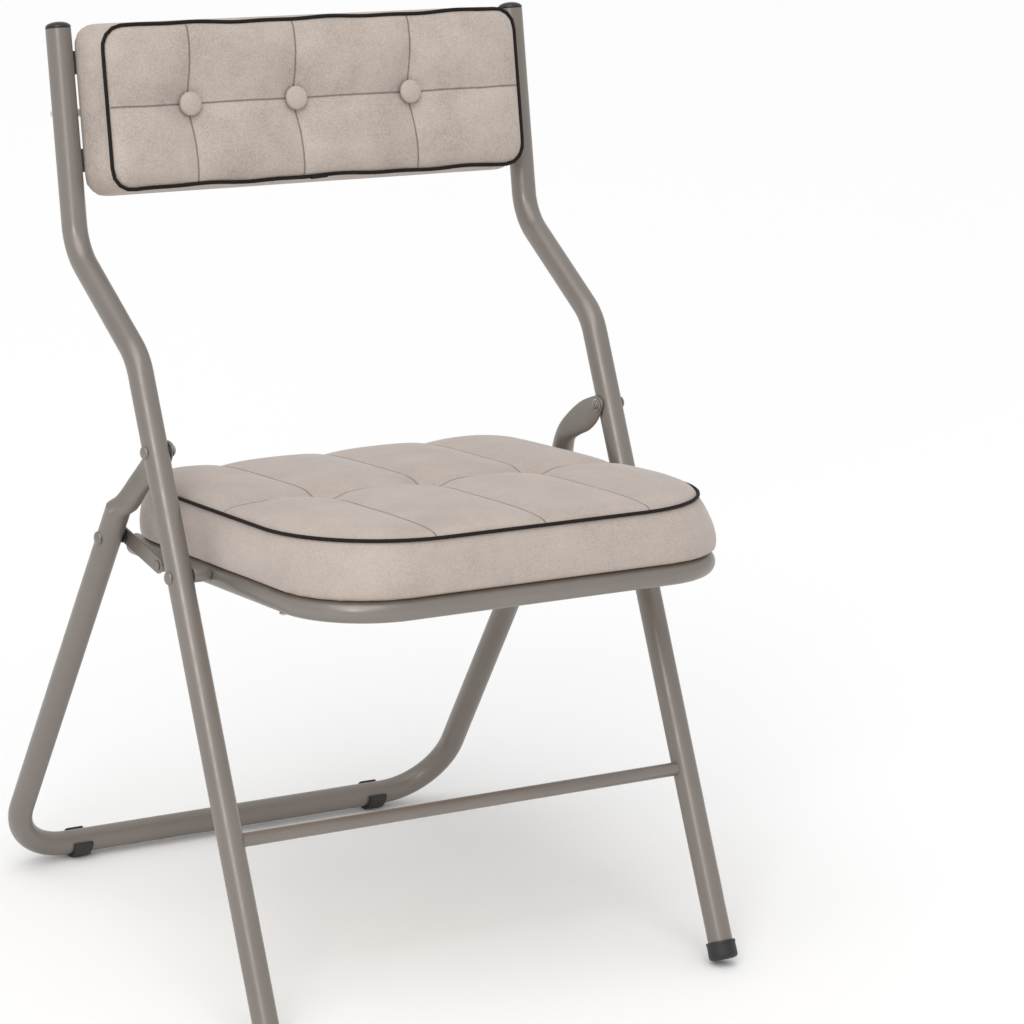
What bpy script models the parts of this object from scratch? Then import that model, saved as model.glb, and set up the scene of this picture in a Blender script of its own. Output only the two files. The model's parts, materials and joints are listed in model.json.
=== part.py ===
"""Folding chair: bent steel tube, upholstered seat and backrest.

Metres, +Z up. +X is the sitter's left as seen from the front (right in a front view),
-Y is the front, and the floor is z = 0.
Profiles in the side plane are (y, z) pairs. The seat and the rear legs are built in the
frame of their own pivot, and the backrest in the frame of the upper tube.
"""

from math import acos, asin, atan2, cos, degrees, hypot, pi, radians, sin

import bmesh
import bpy
from mathutils import Matrix, Vector

SIDES = (("left", -1), ("right", 1))

# ---- driving dimensions -------------------------------------------------------------
GAP = 0.0003                  # between pieces that touch
RUNNING = 0.0003              # round a rivet shank

TUBE_D = 0.022
TUBE_WALL = 0.0012
TUBE_SIDES = 16
SIDE_SPACING = 0.460          # side tube to side tube, centre to centre
FOOTPRINT = 0.4787            # side tube's lower end to the rear floor bar's centre

LEG_LENGTH = 0.5818           # side tube: foot end to lower bend corner
LEG_LEAN = radians(26.84)
OFFSET_LENGTH = 0.134         # lower to upper bend corner
OFFSET_LEAN = radians(59.14)
BACK_LENGTH = 0.188           # upper bend corner to tube top
BACK_LEAN = radians(13.74)
BEND_R = 0.052

REAR_PIVOT_UP = 0.5005        # pivot 1, measured up the leg from the foot end
SEAT_PIVOT_UP = 0.3933        # pivot 2
ROD_UP = 0.1689               # front cross rod
FOLDED_GAP = 0.0035           # between the rear leg and the side tube, folded
REAR_CORNER_R = 0.060
LINK_PIVOT_DOWN = 0.119       # pivot 3, measured down the rear leg from pivot 1

ROD_D = 0.012
ROD_INTO_TUBE = 0.0016
PLUG_DOME = 0.0045
PLUG_STEM = 0.012
PLUG_RIM = 0.001              # straight rim under a plug's dome
BOOT_WALL = 0.0018
BOOT_H = 0.0165
BOOT_BASE = 0.0035
BOOT_LAND = 0.0008            # how deep the floor plane trims the boot's rim
BOOT_EDGE = 0.0012            # rounding of the boot's edges
SADDLE_WALL = 0.0032
SADDLE_WIDTH = 0.018
SADDLE_LAND = 0.0003          # how deep the floor plane trims the saddle
SADDLE_EDGE = 0.0006
SADDLE_START = radians(-190)  # round the floor bar, from its rear by way of below
SADDLE_END = radians(55)
SADDLE_INSET = 0.072          # saddle centre, inboard of the rear leg plane

RIVET_D = 0.006
RIVET_HEAD_D = 0.012
RIVET_HEAD_H = 0.0034
RIVET_SEAT = 0.0009           # depth of the flat that a rivet head sits in
TAIL_D = 0.009
TAIL_H = 0.002
LINK_HEAD_D = 0.009           # head at the link's front end
LINK_HEAD_H = 0.0015
FIN_T = 0.003                 # flattened end of the rear leg
WASHER_T = 0.0010
WASHER_D = 0.011
LINK_W = 0.0145
LINK_T = 0.002
LINK_FROM_TUBE = 0.0033       # side tube's inner face to the link
BUSH_D = 0.0125
BUSH_CLEAR = 0.0008           # bush or boss to the seat tube's side

SEAT_TILT = radians(5.59)     # rear edge lower
SEAT_FRONT = 0.209            # cushion edge in front of pivot 2
SEAT_REAR = 0.168             # cushion edge behind pivot 2
SEAT_SIDE_GAP = 0.0065        # cushion to side tube, at the seat's front
SEAT_TAPER = 0.031            # how much narrower the rear edge is
SEAT_FRONT_R = 0.080
SEAT_REAR_R = 0.055
SEAT_TUBE_D = 0.019
SEAT_TUBE_DROP = 0.003        # seat tube axis below pivot 2
SEAT_TUBE_INSET = 0.0015      # tube's outer face inside the cushion's edge
SEAT_TUBE_SHORT = 0.012       # tube ends ahead of the cushion's rear edge
SEAT_BOXING = 0.047
SEAT_DRAW = 0.004             # how far the boxing leans in from its base to the piping
SEAT_DRAW_R = 0.026           # how much rounder the front corners are at the piping
SEAT_BULGE = 0.003            # how far the boxing swells between its base and the piping
SEAT_BULGE_DRAW = 0.2         # share of SEAT_DRAW reached there
SEAT_EDGE_R = 0.003           # rounding of the cushion's lower edge
SEAT_CROWN = 0.012
SEAT_BOARD_T = 0.009
SEAT_BOARD_INSET = 0.006
REAR_BAR_D = 0.016
REAR_BAR_AHEAD = 0.030        # rear bar centre ahead of the seat tube's ends
SEAT_SCREW_D = 0.004
SEAT_SCREWS_AHEAD = 0.55      # of the way from pivot 2 to the front edge
SEAT_SCREWS_BEHIND = 0.62     # of the way from pivot 2 to the rear edge
SEAT_PLUG_STEM = 0.010
SEAT_PLUG_H = 0.0035

CUSHION_SIDE_GAP = 0.0030     # backrest cushion's rear edge to side tube
CUSHION_DRAW_X = 0.008        # how far the cushion's sides lean in to the piping
CUSHION_DRAW_Z = 0.002
CUSHION_BULGE = 0.0005
CUSHION_LOW = 0.0450          # above the upper bend corner, along the tube
CUSHION_HIGH = 0.1884
CUSHION_R = 0.016
CUSHION_FRONT = 0.0365        # piping plane in front of the tube's axis
CUSHION_CROWN = 0.006
CUSHION_BACK = 0.0012         # rear face in front of the tube's axis
BOARD_T = 0.008
BOARD_INSET = 0.006
RAIL_T = 0.002
RAIL_H = 0.020
RAIL_FROM_END = 0.030         # rail centre from the cushion's top or bottom edge
PANEL_T = 0.002
PANEL_INSET = 0.008           # cover's edge inside the cushion's
PANEL_BACK = 0.0150           # cover's rear face behind the tube's axis
PANEL_CROWN = 0.0025
PANEL_EDGE = 0.005            # width of the cover's rounded edge
PANEL_SLOPE = 0.030           # how far in from the cushion's edge the crown is nearly full
PANEL_FLAT = 0.060            # and where it is full
PANEL_RISE = 0.6              # share of the crown reached at PANEL_SLOPE
PANEL_SCREW_X = 0.150
PANEL_SCREW_Z = 0.056         # from the middle of the backrest
PANEL_SCREW_D = 0.004
PANEL_SCREW_H = 0.0024
HANDLE_D = 0.007
HANDLE_CLEAR = 0.0135         # from the side tube's rear face to the handle
HANDLE_BEND = 0.010
PIPING_D = 0.0040
BUTTON_D = 0.021
BUTTON_H = 0.0065
BUTTON_EDGE = 0.001
BUTTON_SIDE = 0.0025          # height of the button below its dome
BUTTON_PLACES = (-0.129, -0.024, 0.093)

# ---- sizes that follow --------------------------------------------------------------
TUBE_R = TUBE_D / 2
HALF = SIDE_SPACING / 2
INNER = HALF - TUBE_R                                  # inner face of a side tube
BOOT_D = TUBE_D + 2 * (GAP + BOOT_WALL)
REAR_LEG_BEHIND = TUBE_D + FOLDED_GAP                  # rear leg's axis behind pivot 1
HANDLE_BACK = TUBE_R + HANDLE_CLEAR + HANDLE_D / 2     # handle's axis behind the tube's
SEAT_FRONT_W = 2 * (INNER - SEAT_SIDE_GAP)
SEAT_REAR_W = SEAT_FRONT_W - SEAT_TAPER
SHANK_HOLE = RIVET_D / 2 + RUNNING
BOOT_R = BOOT_D / 2
FOOT_Z = BOOT_R * sin(LEG_LEAN) + BOOT_BASE * cos(LEG_LEAN) - BOOT_LAND
BAR_Z = TUBE_R + GAP + SADDLE_WALL - SADDLE_LAND
SEAT_TUBE_R = SEAT_TUBE_D / 2
SEAT_BASE = -SEAT_TUBE_DROP + SEAT_TUBE_R + GAP        # underside of the cushion
SEAT_BULGE_UP = SEAT_BASE + 0.4 * SEAT_BOXING
CUSHION_HALF = INNER - CUSHION_SIDE_GAP
CUSHION_MID = (CUSHION_LOW + CUSHION_HIGH) / 2
PIPING_OUT = 0.15 * PIPING_D + GAP                     # cord's centre outside the cushion's edge
GROOVE_R = PIPING_D / 2 + GAP
GROOVE_TURN = acos(PIPING_OUT / GROOVE_R)
PIPING_GROOVE = [
    (GROOVE_R * cos(share * GROOVE_TURN) - PIPING_OUT, GROOVE_R * sin(share * GROOVE_TURN))
    for share in (-1.0, -0.5, 0.0, 0.5, 1.0)
]
LINK_OUT = INNER - LINK_FROM_TUBE                      # link's outer face


def along(start, lean, length):
    """The side-plane point that far from start, up a line leaning back from the vertical."""
    return (start[0] + length * sin(lean), start[1] + length * cos(lean))


def side_points(foot_y):
    """Foot, two bend corners and top of the side tube, then pivots 1 and 2 and the rod."""
    foot = (foot_y, FOOT_Z)
    low = along(foot, LEG_LEAN, LEG_LENGTH)
    high = along(low, OFFSET_LEAN, OFFSET_LENGTH)
    top = along(high, BACK_LEAN, BACK_LENGTH)
    marks = [along(foot, LEG_LEAN, up) for up in (REAR_PIVOT_UP, SEAT_PIVOT_UP, ROD_UP)]
    return foot, low, high, top, *marks


def origin_shift():
    """Puts y = 0 midway between the seat's front edge and the rear saddles' rear face."""
    pivot_y = along((-FOOTPRINT / 2, FOOT_Z), LEG_LEAN, SEAT_PIVOT_UP)[0]
    ahead = SEAT_FRONT + SEAT_BULGE - SEAT_BULGE_DRAW * SEAT_DRAW
    front = pivot_y - ahead * cos(SEAT_TILT) + SEAT_BULGE_UP * sin(SEAT_TILT)
    rear = FOOTPRINT / 2 + TUBE_R + GAP + SADDLE_WALL
    return -(front + rear) / 2


def link_seat_back():
    """Where the link meets the seat, so that the seat folds flat along the legs.

    The link spans pivots 3 and 4 both open, where pivot 3 lies (back, up) from pivot 2 in the
    seat's frame, and folded, where it lies (down, REAR_LEG_BEHIND) from it along the leg.
    """
    _, back, up = SEAT_FRAME.inverted() @ PIVOT_3
    down = LINK_PIVOT_DOWN - (REAR_PIVOT_UP - SEAT_PIVOT_UP)
    open_rise, folded_rise = up + SEAT_TUBE_DROP, REAR_LEG_BEHIND + SEAT_TUBE_DROP
    return (back ** 2 - down ** 2 + open_rise ** 2 - folded_rise ** 2) / (2 * (back - down))


SHIFT = origin_shift()
FOOT, LOW_BEND, HIGH_BEND, TOP, PIVOT_1, PIVOT_2, ROD_AT = side_points(SHIFT - FOOTPRINT / 2)
BAR_Y = SHIFT + FOOTPRINT / 2
REACH = hypot(BAR_Y - PIVOT_1[0], PIVOT_1[1] - BAR_Z)
REAR_LEAN = atan2(BAR_Y - PIVOT_1[0], PIVOT_1[1] - BAR_Z) - asin(REAR_LEG_BEHIND / REACH)
REAR_LENGTH = (REACH ** 2 - REAR_LEG_BEHIND ** 2) ** 0.5

FRONT_FRAME = Matrix.Identity(4)
REAR_FRAME = Matrix.Translation((0, *PIVOT_1)) @ Matrix.Rotation(REAR_LEAN, 4, "X")
SEAT_FRAME = Matrix.Translation((0, *PIVOT_2)) @ Matrix.Rotation(-SEAT_TILT, 4, "X")
BACK_FRAME = Matrix.Translation((0, *HIGH_BEND)) @ Matrix.Rotation(-BACK_LEAN, 4, "X")
LEG_FRAME = Matrix.Translation((0, *FOOT)) @ Matrix.Rotation(-LEG_LEAN, 4, "X")
PIVOT_3 = REAR_FRAME @ Vector((0, REAR_LEG_BEHIND, -LINK_PIVOT_DOWN))
LINK_SEAT_BACK = link_seat_back()                      # pivot 4 behind pivot 2
PIVOT_4 = SEAT_FRAME @ Vector((0, LINK_SEAT_BACK, -SEAT_TUBE_DROP))
LINK_LENGTH = (PIVOT_4 - PIVOT_3).length
LINK_ANGLE = atan2(PIVOT_3.z - PIVOT_4.z, PIVOT_3.y - PIVOT_4.y)


# ---- scene and materials ------------------------------------------------------------
def clear_scene():
    for obj in list(bpy.data.objects):
        bpy.data.objects.remove(obj, do_unlink=True)


def material(name, colour, roughness, metallic=0.0):
    made = bpy.data.materials.new(name)
    made.use_nodes = True
    shader = made.node_tree.nodes["Principled BSDF"]
    shader.inputs["Base Color"].default_value = (*colour, 1.0)
    shader.inputs["Roughness"].default_value = roughness
    shader.inputs["Metallic"].default_value = metallic
    return made


def group(name, matrix):
    """An empty on a pivot, which carries the pieces of one moving group."""
    empty = bpy.data.objects.new(name, None)
    bpy.context.collection.objects.link(empty)
    empty.matrix_world = matrix
    return empty


# ---- meshes -------------------------------------------------------------------------
def add_object(name, bm, parent, skin, local=None, smooth=True):
    """One named piece. local places the mesh in its group's frame."""
    if local is not None:
        bm.transform(local)
    bmesh.ops.recalc_face_normals(bm, faces=bm.faces)
    mesh = bpy.data.meshes.new(name)
    bm.to_mesh(mesh)
    bm.free()
    if smooth:
        mesh.shade_smooth()
        mesh.set_sharp_from_angle(angle=radians(40))
    mesh.materials.append(skin)
    obj = bpy.data.objects.new(name, mesh)
    bpy.context.collection.objects.link(obj)
    obj.parent = parent
    return obj


def skin_rings(rings, loop=False):
    """A mesh through rings of the same number of points, capped at its ends or joined round."""
    bm = bmesh.new()
    rows = [[bm.verts.new(point) for point in ring] for ring in rings]
    count = len(rows[0])
    pairs = list(zip(rows, rows[1:]))
    if loop:
        pairs.append((rows[-1], rows[0]))
    else:
        bm.faces.new(reversed(rows[0]))
        bm.faces.new(rows[-1])
    for lower, upper in pairs:
        for i in range(count):
            k = (i + 1) % count
            bm.faces.new((lower[i], lower[k], upper[k], upper[i]))
    return bm


def turned(profile, axis="Z", sides=14, loop=False):
    """A solid of revolution from (height, radius) points, about Z or X.

    With loop, the profile is a closed loop and the solid a ring.
    """
    rings = []
    for height, radius in profile:
        ring = []
        for i in range(sides):
            turn = 2 * pi * i / sides
            across = (radius * cos(turn), radius * sin(turn))
            ring.append((height, *across) if axis == "X" else (*across, height))
        rings.append(ring)
    return skin_rings(rings, loop)


def hole_cutter(start, end, radius, axis="Z", sides=14):
    return turned([(start, radius), (end, radius)], axis, sides)


def box(low, high):
    bm = bmesh.new()
    bmesh.ops.create_cube(bm, size=1.0)
    for vert in bm.verts:
        for axis in range(3):
            vert.co[axis] = low[axis] if vert.co[axis] < 0 else high[axis]
    return bm


def cut(target, name, bm, local=None):
    """Takes a cutter's shape out of target, in the target's own group frame."""
    cutter = add_object(name, bm, target.parent, STEEL_PAINT, local, smooth=False)
    cutter.hide_render = True
    cutter.display_type = "WIRE"
    boolean = target.modifiers.new(name, "BOOLEAN")
    boolean.operation = "DIFFERENCE"
    boolean.solver = "EXACT"
    boolean.object = cutter
    return cutter


# ---- paths and tubes ----------------------------------------------------------------
def filleted(corners, radius, steps=4):
    """The corner list with each inner corner turned into an arc of that radius."""
    corners = [Vector(corner) for corner in corners]
    points = [corners[0]]
    for before, corner, after in zip(corners, corners[1:], corners[2:]):
        back = (before - corner).normalized()
        ahead = (after - corner).normalized()
        half_turn = back.angle(ahead) / 2
        middle = corner + (back + ahead).normalized() * radius / sin(half_turn)
        start = corner + back * radius / abs(sin(half_turn) / cos(half_turn))
        end = corner + ahead * radius / abs(sin(half_turn) / cos(half_turn))
        arm, last = start - middle, end - middle
        swing = arm.angle(last)
        axis = arm.cross(last).normalized()
        for i in range(steps + 1):
            points.append(middle + Matrix.Rotation(swing * i / steps, 3, axis) @ arm)
    points.append(corners[-1])
    return points


def frames(points, side):
    """Along each point of the path: the point and two unit vectors across it."""
    found = []
    across = Vector(side).normalized()
    for i, point in enumerate(points):
        before = points[max(i - 1, 0)]
        after = points[min(i + 1, len(points) - 1)]
        ahead = (after - before).normalized()
        across = (across - ahead * across.dot(ahead)).normalized()
        found.append((point, across, ahead.cross(across)))
    return found


def circle(frame, radius, sides):
    point, across, up = frame
    turns = [2 * pi * i / sides for i in range(sides)]
    return [point + across * radius * cos(t) + up * radius * sin(t) for t in turns]


def hollow_tube(points, side, radius, wall, sides=TUBE_SIDES):
    """An open-ended tube along the path."""
    path = frames(points, side)
    outer = [circle(frame, radius, sides) for frame in path]
    inner = [circle(frame, radius - wall, sides) for frame in path]
    return skin_rings(outer + inner[::-1], loop=True)


def solid_rod(points, side, radius, sides=12):
    return skin_rings([circle(frame, radius, sides) for frame in frames(points, side)])


def rounded_outline(corners, radii, steps=5):
    """A closed outline of (x, y) points with an arc at each corner."""
    count = len(corners)
    outline = []
    for i, radius in enumerate(radii):
        before, corner, after = corners[i - 1], corners[i], corners[(i + 1) % count]
        arc = filleted([(*before, 0), (*corner, 0), (*after, 0)], radius, steps)[1:-1]
        outline += [(point.x, point.y) for point in arc]
    return outline


def flip_x(sign):
    return Matrix.Diagonal((sign, 1, 1, 1))


def at(x, y, z):
    return Matrix.Translation((x, y, z))


FACING_FRONT = Matrix.Rotation(pi / 2, 4, "X")         # turns +Z to -Y
FACING_BACK = Matrix.Rotation(-pi / 2, 4, "X")         # turns +Z to +Y


# ---- rivets and holes ---------------------------------------------------------------
def rivet_profile(seat_x, tail_x):
    """Domed head outside seat_x, shank, and a flat tail head inside tail_x."""
    shank = RIVET_D / 2
    head = RIVET_HEAD_D / 2
    dome = [
        (seat_x + RIVET_HEAD_H * sin(turn), head * cos(turn))
        for turn in (0.35, 0.7, 1.05, 1.4)
    ]
    return [
        (tail_x - TAIL_H, TAIL_D / 2 - 2 * GAP),
        (tail_x - TAIL_H / 2, TAIL_D / 2),
        (tail_x, TAIL_D / 2),
        (tail_x, shank),
        (seat_x, shank),
        (seat_x, head),
        *dome,
    ]


def rivet(name, parent, sign, y, z, seat_x, tail_x):
    bm = turned(rivet_profile(seat_x, tail_x), "X")
    return add_object(name, bm, parent, STEEL_PAINT, flip_x(sign) @ at(0, y, z))


def rivet_hole(target, name, sign, y, z, outer_face):
    """A hole across X with a shallow flat for the rivet's head at the outer face."""
    flat = outer_face - RIVET_SEAT
    head = RIVET_HEAD_D / 2 + GAP
    profile = [
        (flat - 2 * TUBE_D, SHANK_HOLE),
        (flat, SHANK_HOLE),
        (flat, head),
        (outer_face + TUBE_R, head),
    ]
    cut(target, name, turned(profile, "X"), flip_x(sign) @ at(0, y, z))


def washer(name, parent, sign, y, z, outer_x, inner_x, diameter, skin):
    """A plain ring round a rivet's shank, from outer_x in to inner_x."""
    rim, hole = diameter / 2, SHANK_HOLE
    profile = [(inner_x, hole), (outer_x, hole), (outer_x, rim), (inner_x, rim)]
    ring = turned(profile, "X", loop=True)
    return add_object(name, ring, parent, skin, flip_x(sign) @ at(0, y, z))


# ---- front frame --------------------------------------------------------------------
def side_tube(side, sign, parent):
    corners = [(sign * HALF, *point) for point in (FOOT, LOW_BEND, HIGH_BEND, TOP)]
    bm = hollow_tube(filleted(corners, BEND_R), (1, 0, 0), TUBE_R, TUBE_WALL)
    tube = add_object(side + "_side_tube", bm, parent, STEEL_PAINT)
    outer = HALF + TUBE_R
    rivet_hole(tube, side + "_hole_1", sign, *PIVOT_1, outer)
    rivet_hole(tube, side + "_hole_2", sign, *PIVOT_2, outer)
    socket = hole_cutter(INNER - ROD_D, HALF, ROD_D / 2 + GAP, "X")
    cut(tube, side + "_rod_hole", socket, flip_x(sign) @ at(0, *ROD_AT))


def top_plug(side, sign, parent):
    stem = TUBE_R - TUBE_WALL - GAP
    rim = PLUG_RIM
    profile = [(-PLUG_STEM, stem - rim), (-PLUG_STEM + rim, stem), (GAP, stem), (GAP, TUBE_R)]
    for turn in (0.25, 0.6, 0.95, 1.25, 1.5):
        profile.append((GAP + rim + PLUG_DOME * sin(turn), TUBE_R * cos(turn)))
    place = at(sign * HALF, 0, 0) @ BACK_FRAME @ at(0, 0, BACK_LENGTH)
    add_object(side + "_top_plug", turned(profile), parent, BLACK_PLASTIC, place)


def front_boot(side, sign, parent):
    """A cup round the tube's end. The floor plane trims its lowest edge to a flat."""
    bore, edge = TUBE_R + GAP, BOOT_EDGE
    profile = [
        (-GAP, bore - edge),
        (-GAP, bore),
        (BOOT_H - BOOT_BASE, bore),
        (BOOT_H - BOOT_BASE, BOOT_R - edge / 2),
        (BOOT_H - BOOT_BASE - edge / 2, BOOT_R - edge / 3),
        (-BOOT_BASE + edge, BOOT_R),
        (-BOOT_BASE + edge / 4, BOOT_R - edge / 4),
        (-BOOT_BASE, BOOT_R - edge),
    ]
    place = at(sign * HALF, 0, 0) @ LEG_FRAME
    boot = add_object(side + "_front_boot", turned(profile, sides=24), parent, RUBBER, place)
    cut(boot, side + "_floor_cut", below_floor(sign * HALF, FOOT[0], BOOT_D))


def below_floor(x, y, reach):
    return box((x - reach, y - reach, -reach), (x + reach, y + reach, 0))


def front_cross_rod(parent):
    end = INNER + ROD_INTO_TUBE
    bm = solid_rod([Vector((-end, *ROD_AT)), Vector((end, *ROD_AT))], (0, 1, 0), ROD_D / 2, 16)
    add_object("front_cross_rod", bm, parent, STEEL_PAINT)


def front_rivets(side, sign, parent):
    seat_x = HALF + TUBE_R - RIVET_SEAT + GAP
    fin_inner = INNER - 2 * GAP - FIN_T - WASHER_T
    rivet(side + "_rear_leg_rivet", parent, sign, *PIVOT_1, seat_x, fin_inner - GAP)
    seat_inner = seat_half_width(0) - SEAT_TUBE_INSET - SEAT_TUBE_D
    rivet(side + "_seat_rivet", parent, sign, *PIVOT_2, seat_x, seat_inner - WASHER_T)


# ---- backrest -----------------------------------------------------------------------
def back_outline(inset=0.0, draw=0.0):
    """The backrest's outline. draw goes from 0 at its rear to 1 at the piping."""
    half = CUSHION_HALF - inset - draw * CUSHION_DRAW_X
    low = CUSHION_LOW + inset + draw * CUSHION_DRAW_Z
    high = CUSHION_HIGH - inset - draw * CUSHION_DRAW_Z
    corners = [(-half, low), (half, low), (half, high), (-half, high)]
    return rounded_outline(corners, [max(CUSHION_R - inset, 0.003)] * 4, steps=4)


def front_outline(inset):
    return back_outline(inset, draw=1.0)


def back_rings(layers, outline=back_outline):
    """Rings in the upper tube's frame from (inset, y) pairs."""
    return [[(x, y, z) for x, z in outline(inset)] for inset, y in layers]


def back_cushion(parent):
    rear, recess = -CUSHION_BACK, -CUSHION_BACK - BOARD_T - GAP
    front, crown = -CUSHION_FRONT, CUSHION_CROWN
    board = BOARD_INSET
    rings = back_rings([(board, recess), (board, rear), (0.0, rear)])
    bulge = rear + 0.4 * (front - rear)
    rings.append([(x, bulge, z) for x, z in back_outline(-CUSHION_BULGE, draw=0.3)])
    layers = [(inset, front - lift) for inset, lift in PIPING_GROOVE]
    for inset, share in ((0.008, 0.55), (0.020, 0.85), (0.045, 1.0)):
        layers.append((inset, front - share * crown))
    rings += back_rings(layers, front_outline)
    cushion = add_object("back_cushion", skin_rings(rings), parent, FABRIC, BACK_FRAME)
    depth = CUSHION_FRONT + CUSHION_CROWN - BUTTON_H - GAP
    for number, x in enumerate(BUTTON_PLACES):
        well = hole_cutter(depth, depth + BUTTON_D, BUTTON_D / 2 + GAP)
        place = BACK_FRAME @ at(x, 0, CUSHION_MID) @ FACING_FRONT
        cut(cushion, "button_well_%d" % number, well, place)


def back_button(name, x, parent):
    """A covered button, sunk in its well in the cushion's front."""
    depth = CUSHION_FRONT + CUSHION_CROWN - BUTTON_H
    radius, edge, side = BUTTON_D / 2, BUTTON_EDGE, BUTTON_SIDE
    profile = [(depth, radius - edge), (depth + edge, radius)]
    for turn in (0.2, 0.55, 0.9, 1.25, 1.5):
        profile.append((depth + side + (BUTTON_H - side) * sin(turn), radius * cos(turn)))
    place = BACK_FRAME @ at(x, 0, CUSHION_MID) @ FACING_FRONT
    add_object(name, turned(profile, sides=16), parent, FABRIC, place)


def piping_ring(outline, plane):
    """A round cord along a cushion's closed outline, in the groove round its edge."""
    sides = 6
    rings = []
    for i in range(sides):
        turn = 2 * pi * i / sides + pi / sides
        points = outline(-PIPING_OUT - PIPING_D / 2 * cos(turn))
        rings.append(plane(points, PIPING_D / 2 * sin(turn)))
    return skin_rings(rings, loop=True)


def back_piping(parent):
    def plane(points, lift):
        return [(x, -CUSHION_FRONT - lift, z) for x, z in points]

    add_object("back_piping", piping_ring(front_outline, plane), parent, PIPING, BACK_FRAME)


def back_board(parent):
    board = BOARD_INSET + GAP
    rear = -CUSHION_BACK
    rings = back_rings([(board, rear - BOARD_T), (board, rear)])
    made = add_object("back_board", skin_rings(rings), parent, PLYWOOD, BACK_FRAME, smooth=False)
    for number, (x, z) in enumerate(panel_screw_places()):
        hole = hole_cutter(-BOARD_T * 0.8, BOARD_T, PANEL_SCREW_D / 2 + GAP)
        cut(made, "back_board_hole_%d" % number, hole, BACK_FRAME @ at(x, rear, z) @ FACING_BACK)


def panel_screw_places():
    return [(x, CUSHION_MID + z) for z in (-PANEL_SCREW_Z, PANEL_SCREW_Z)
            for x in (-PANEL_SCREW_X, PANEL_SCREW_X)]


def rail_heights():
    return [CUSHION_LOW + RAIL_FROM_END, CUSHION_HIGH - RAIL_FROM_END]


def back_rail(name, z, parent):
    end = INNER - GAP
    bm = box((-end, GAP, z - RAIL_H / 2), (end, GAP + RAIL_T, z + RAIL_H / 2))
    add_object(name, bm, parent, STEEL_PAINT, BACK_FRAME, smooth=False)


def back_panel(parent):
    """A shallow tray over the rails, its open side against the cushion."""
    rim, back, crown, wall = -CUSHION_BACK + GAP, PANEL_BACK, PANEL_CROWN, PANEL_T
    edge, nearly = PANEL_EDGE, PANEL_RISE * PANEL_CROWN
    side = PANEL_INSET
    outer = [
        (side, rim),
        (side, back - 1.2 * edge),
        (side + 0.3 * edge, back - 0.4 * edge),
        (side + edge, back),
        (PANEL_SLOPE, back + nearly),
        (PANEL_FLAT, back + crown),
    ]
    inner = [
        (PANEL_FLAT, back + crown - wall),
        (PANEL_SLOPE, back + nearly - wall),
        (side + edge + wall, back - wall),
        (side + wall, back - 1.2 * edge),
        (side + wall, rim),
    ]
    bm = tray(back_rings(outer), back_rings(inner))
    panel = add_object("back_panel", bm, parent, GREY_PLASTIC, BACK_FRAME)
    for number, z in enumerate(rail_heights()):
        reach = RAIL_H / 2 + GAP
        notch = box((-HALF, -RAIL_H, z - reach), (HALF, 2 * GAP + RAIL_T, z + reach))
        cut(panel, "panel_notch_%d" % number, notch, BACK_FRAME)
    for number, (x, z) in enumerate(panel_screw_places()):
        hole = hole_cutter(0, 2 * PANEL_BACK, PANEL_SCREW_D / 2 + GAP)
        cut(panel, "panel_hole_%d" % number, hole, BACK_FRAME @ at(x, 0, z) @ FACING_BACK)


def tray(outer, inner):
    """A shell capped at both ends: the outer rings back to the rim, then the inner ones in."""
    return skin_rings(outer[::-1] + inner[::-1])


def panel_surface(x, z):
    """How far behind the tube's axis the cover's rear face lies at (x, z)."""
    inset = min(CUSHION_HALF - abs(x), CUSHION_HIGH - z, z - CUSHION_LOW)
    nearly = PANEL_RISE * PANEL_CROWN
    steps = [(PANEL_INSET + PANEL_EDGE, 0.0), (PANEL_SLOPE, nearly), (PANEL_FLAT, PANEL_CROWN)]
    for (low, rise), (high, top) in zip(steps, steps[1:]):
        if inset <= high:
            return PANEL_BACK + rise + (top - rise) * (inset - low) / (high - low)
    return PANEL_BACK + PANEL_CROWN


def panel_screw(name, x, z, parent):
    shank, head = PANEL_SCREW_D / 2, PANEL_SCREW_D
    face = panel_surface(x, z) + 2 * GAP
    tip = -CUSHION_BACK - BOARD_T * 0.7
    profile = [(tip, shank / 2), (tip + shank, shank), (face, shank), (face, head)]
    for turn in (0.4, 0.8, 1.2, 1.5):
        profile.append((face + PANEL_SCREW_H * sin(turn), head * cos(turn)))
    place = BACK_FRAME @ at(x, 0, z) @ FACING_BACK
    add_object(name, turned(profile, sides=16), parent, BRIGHT_STEEL, place)


def carry_handle(parent):
    start = TUBE_R + GAP
    corners = [(-HALF, start, 0), (-HALF, HANDLE_BACK, 0), (HALF, HANDLE_BACK, 0), (HALF, start, 0)]
    bm = solid_rod(filleted(corners, HANDLE_BEND), (0, 0, 1), HANDLE_D / 2)
    add_object("carry_handle", bm, parent, GREY_PLASTIC, BACK_FRAME @ at(0, 0, CUSHION_MID))


# ---- rear legs ----------------------------------------------------------------------
FIN_TO_BEND = 0.012           # plain tube between the last station and the swept part
FIN_STATIONS = [
    # down from pivot 1; rear and front edges as shares of the round leg's; roundness
    (-0.0068, 0.08, -0.17, 0.0),
    (-0.0055, 0.18, -0.31, 0.0),
    (-0.0020, 0.27, -0.43, 0.0),
    (0.0100, 0.53, -0.52, 0.0),
    (0.0200, 0.69, -0.38, 0.0),
    (0.0300, 0.81, -0.07, 0.04),
    (0.0400, 0.90, 0.41, 0.14),
    (0.0500, 0.96, 0.81, 0.37),
    (0.0620, 0.99, 0.97, 0.68),
    (0.0860, 1.00, 1.00, 1.00),
]


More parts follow.
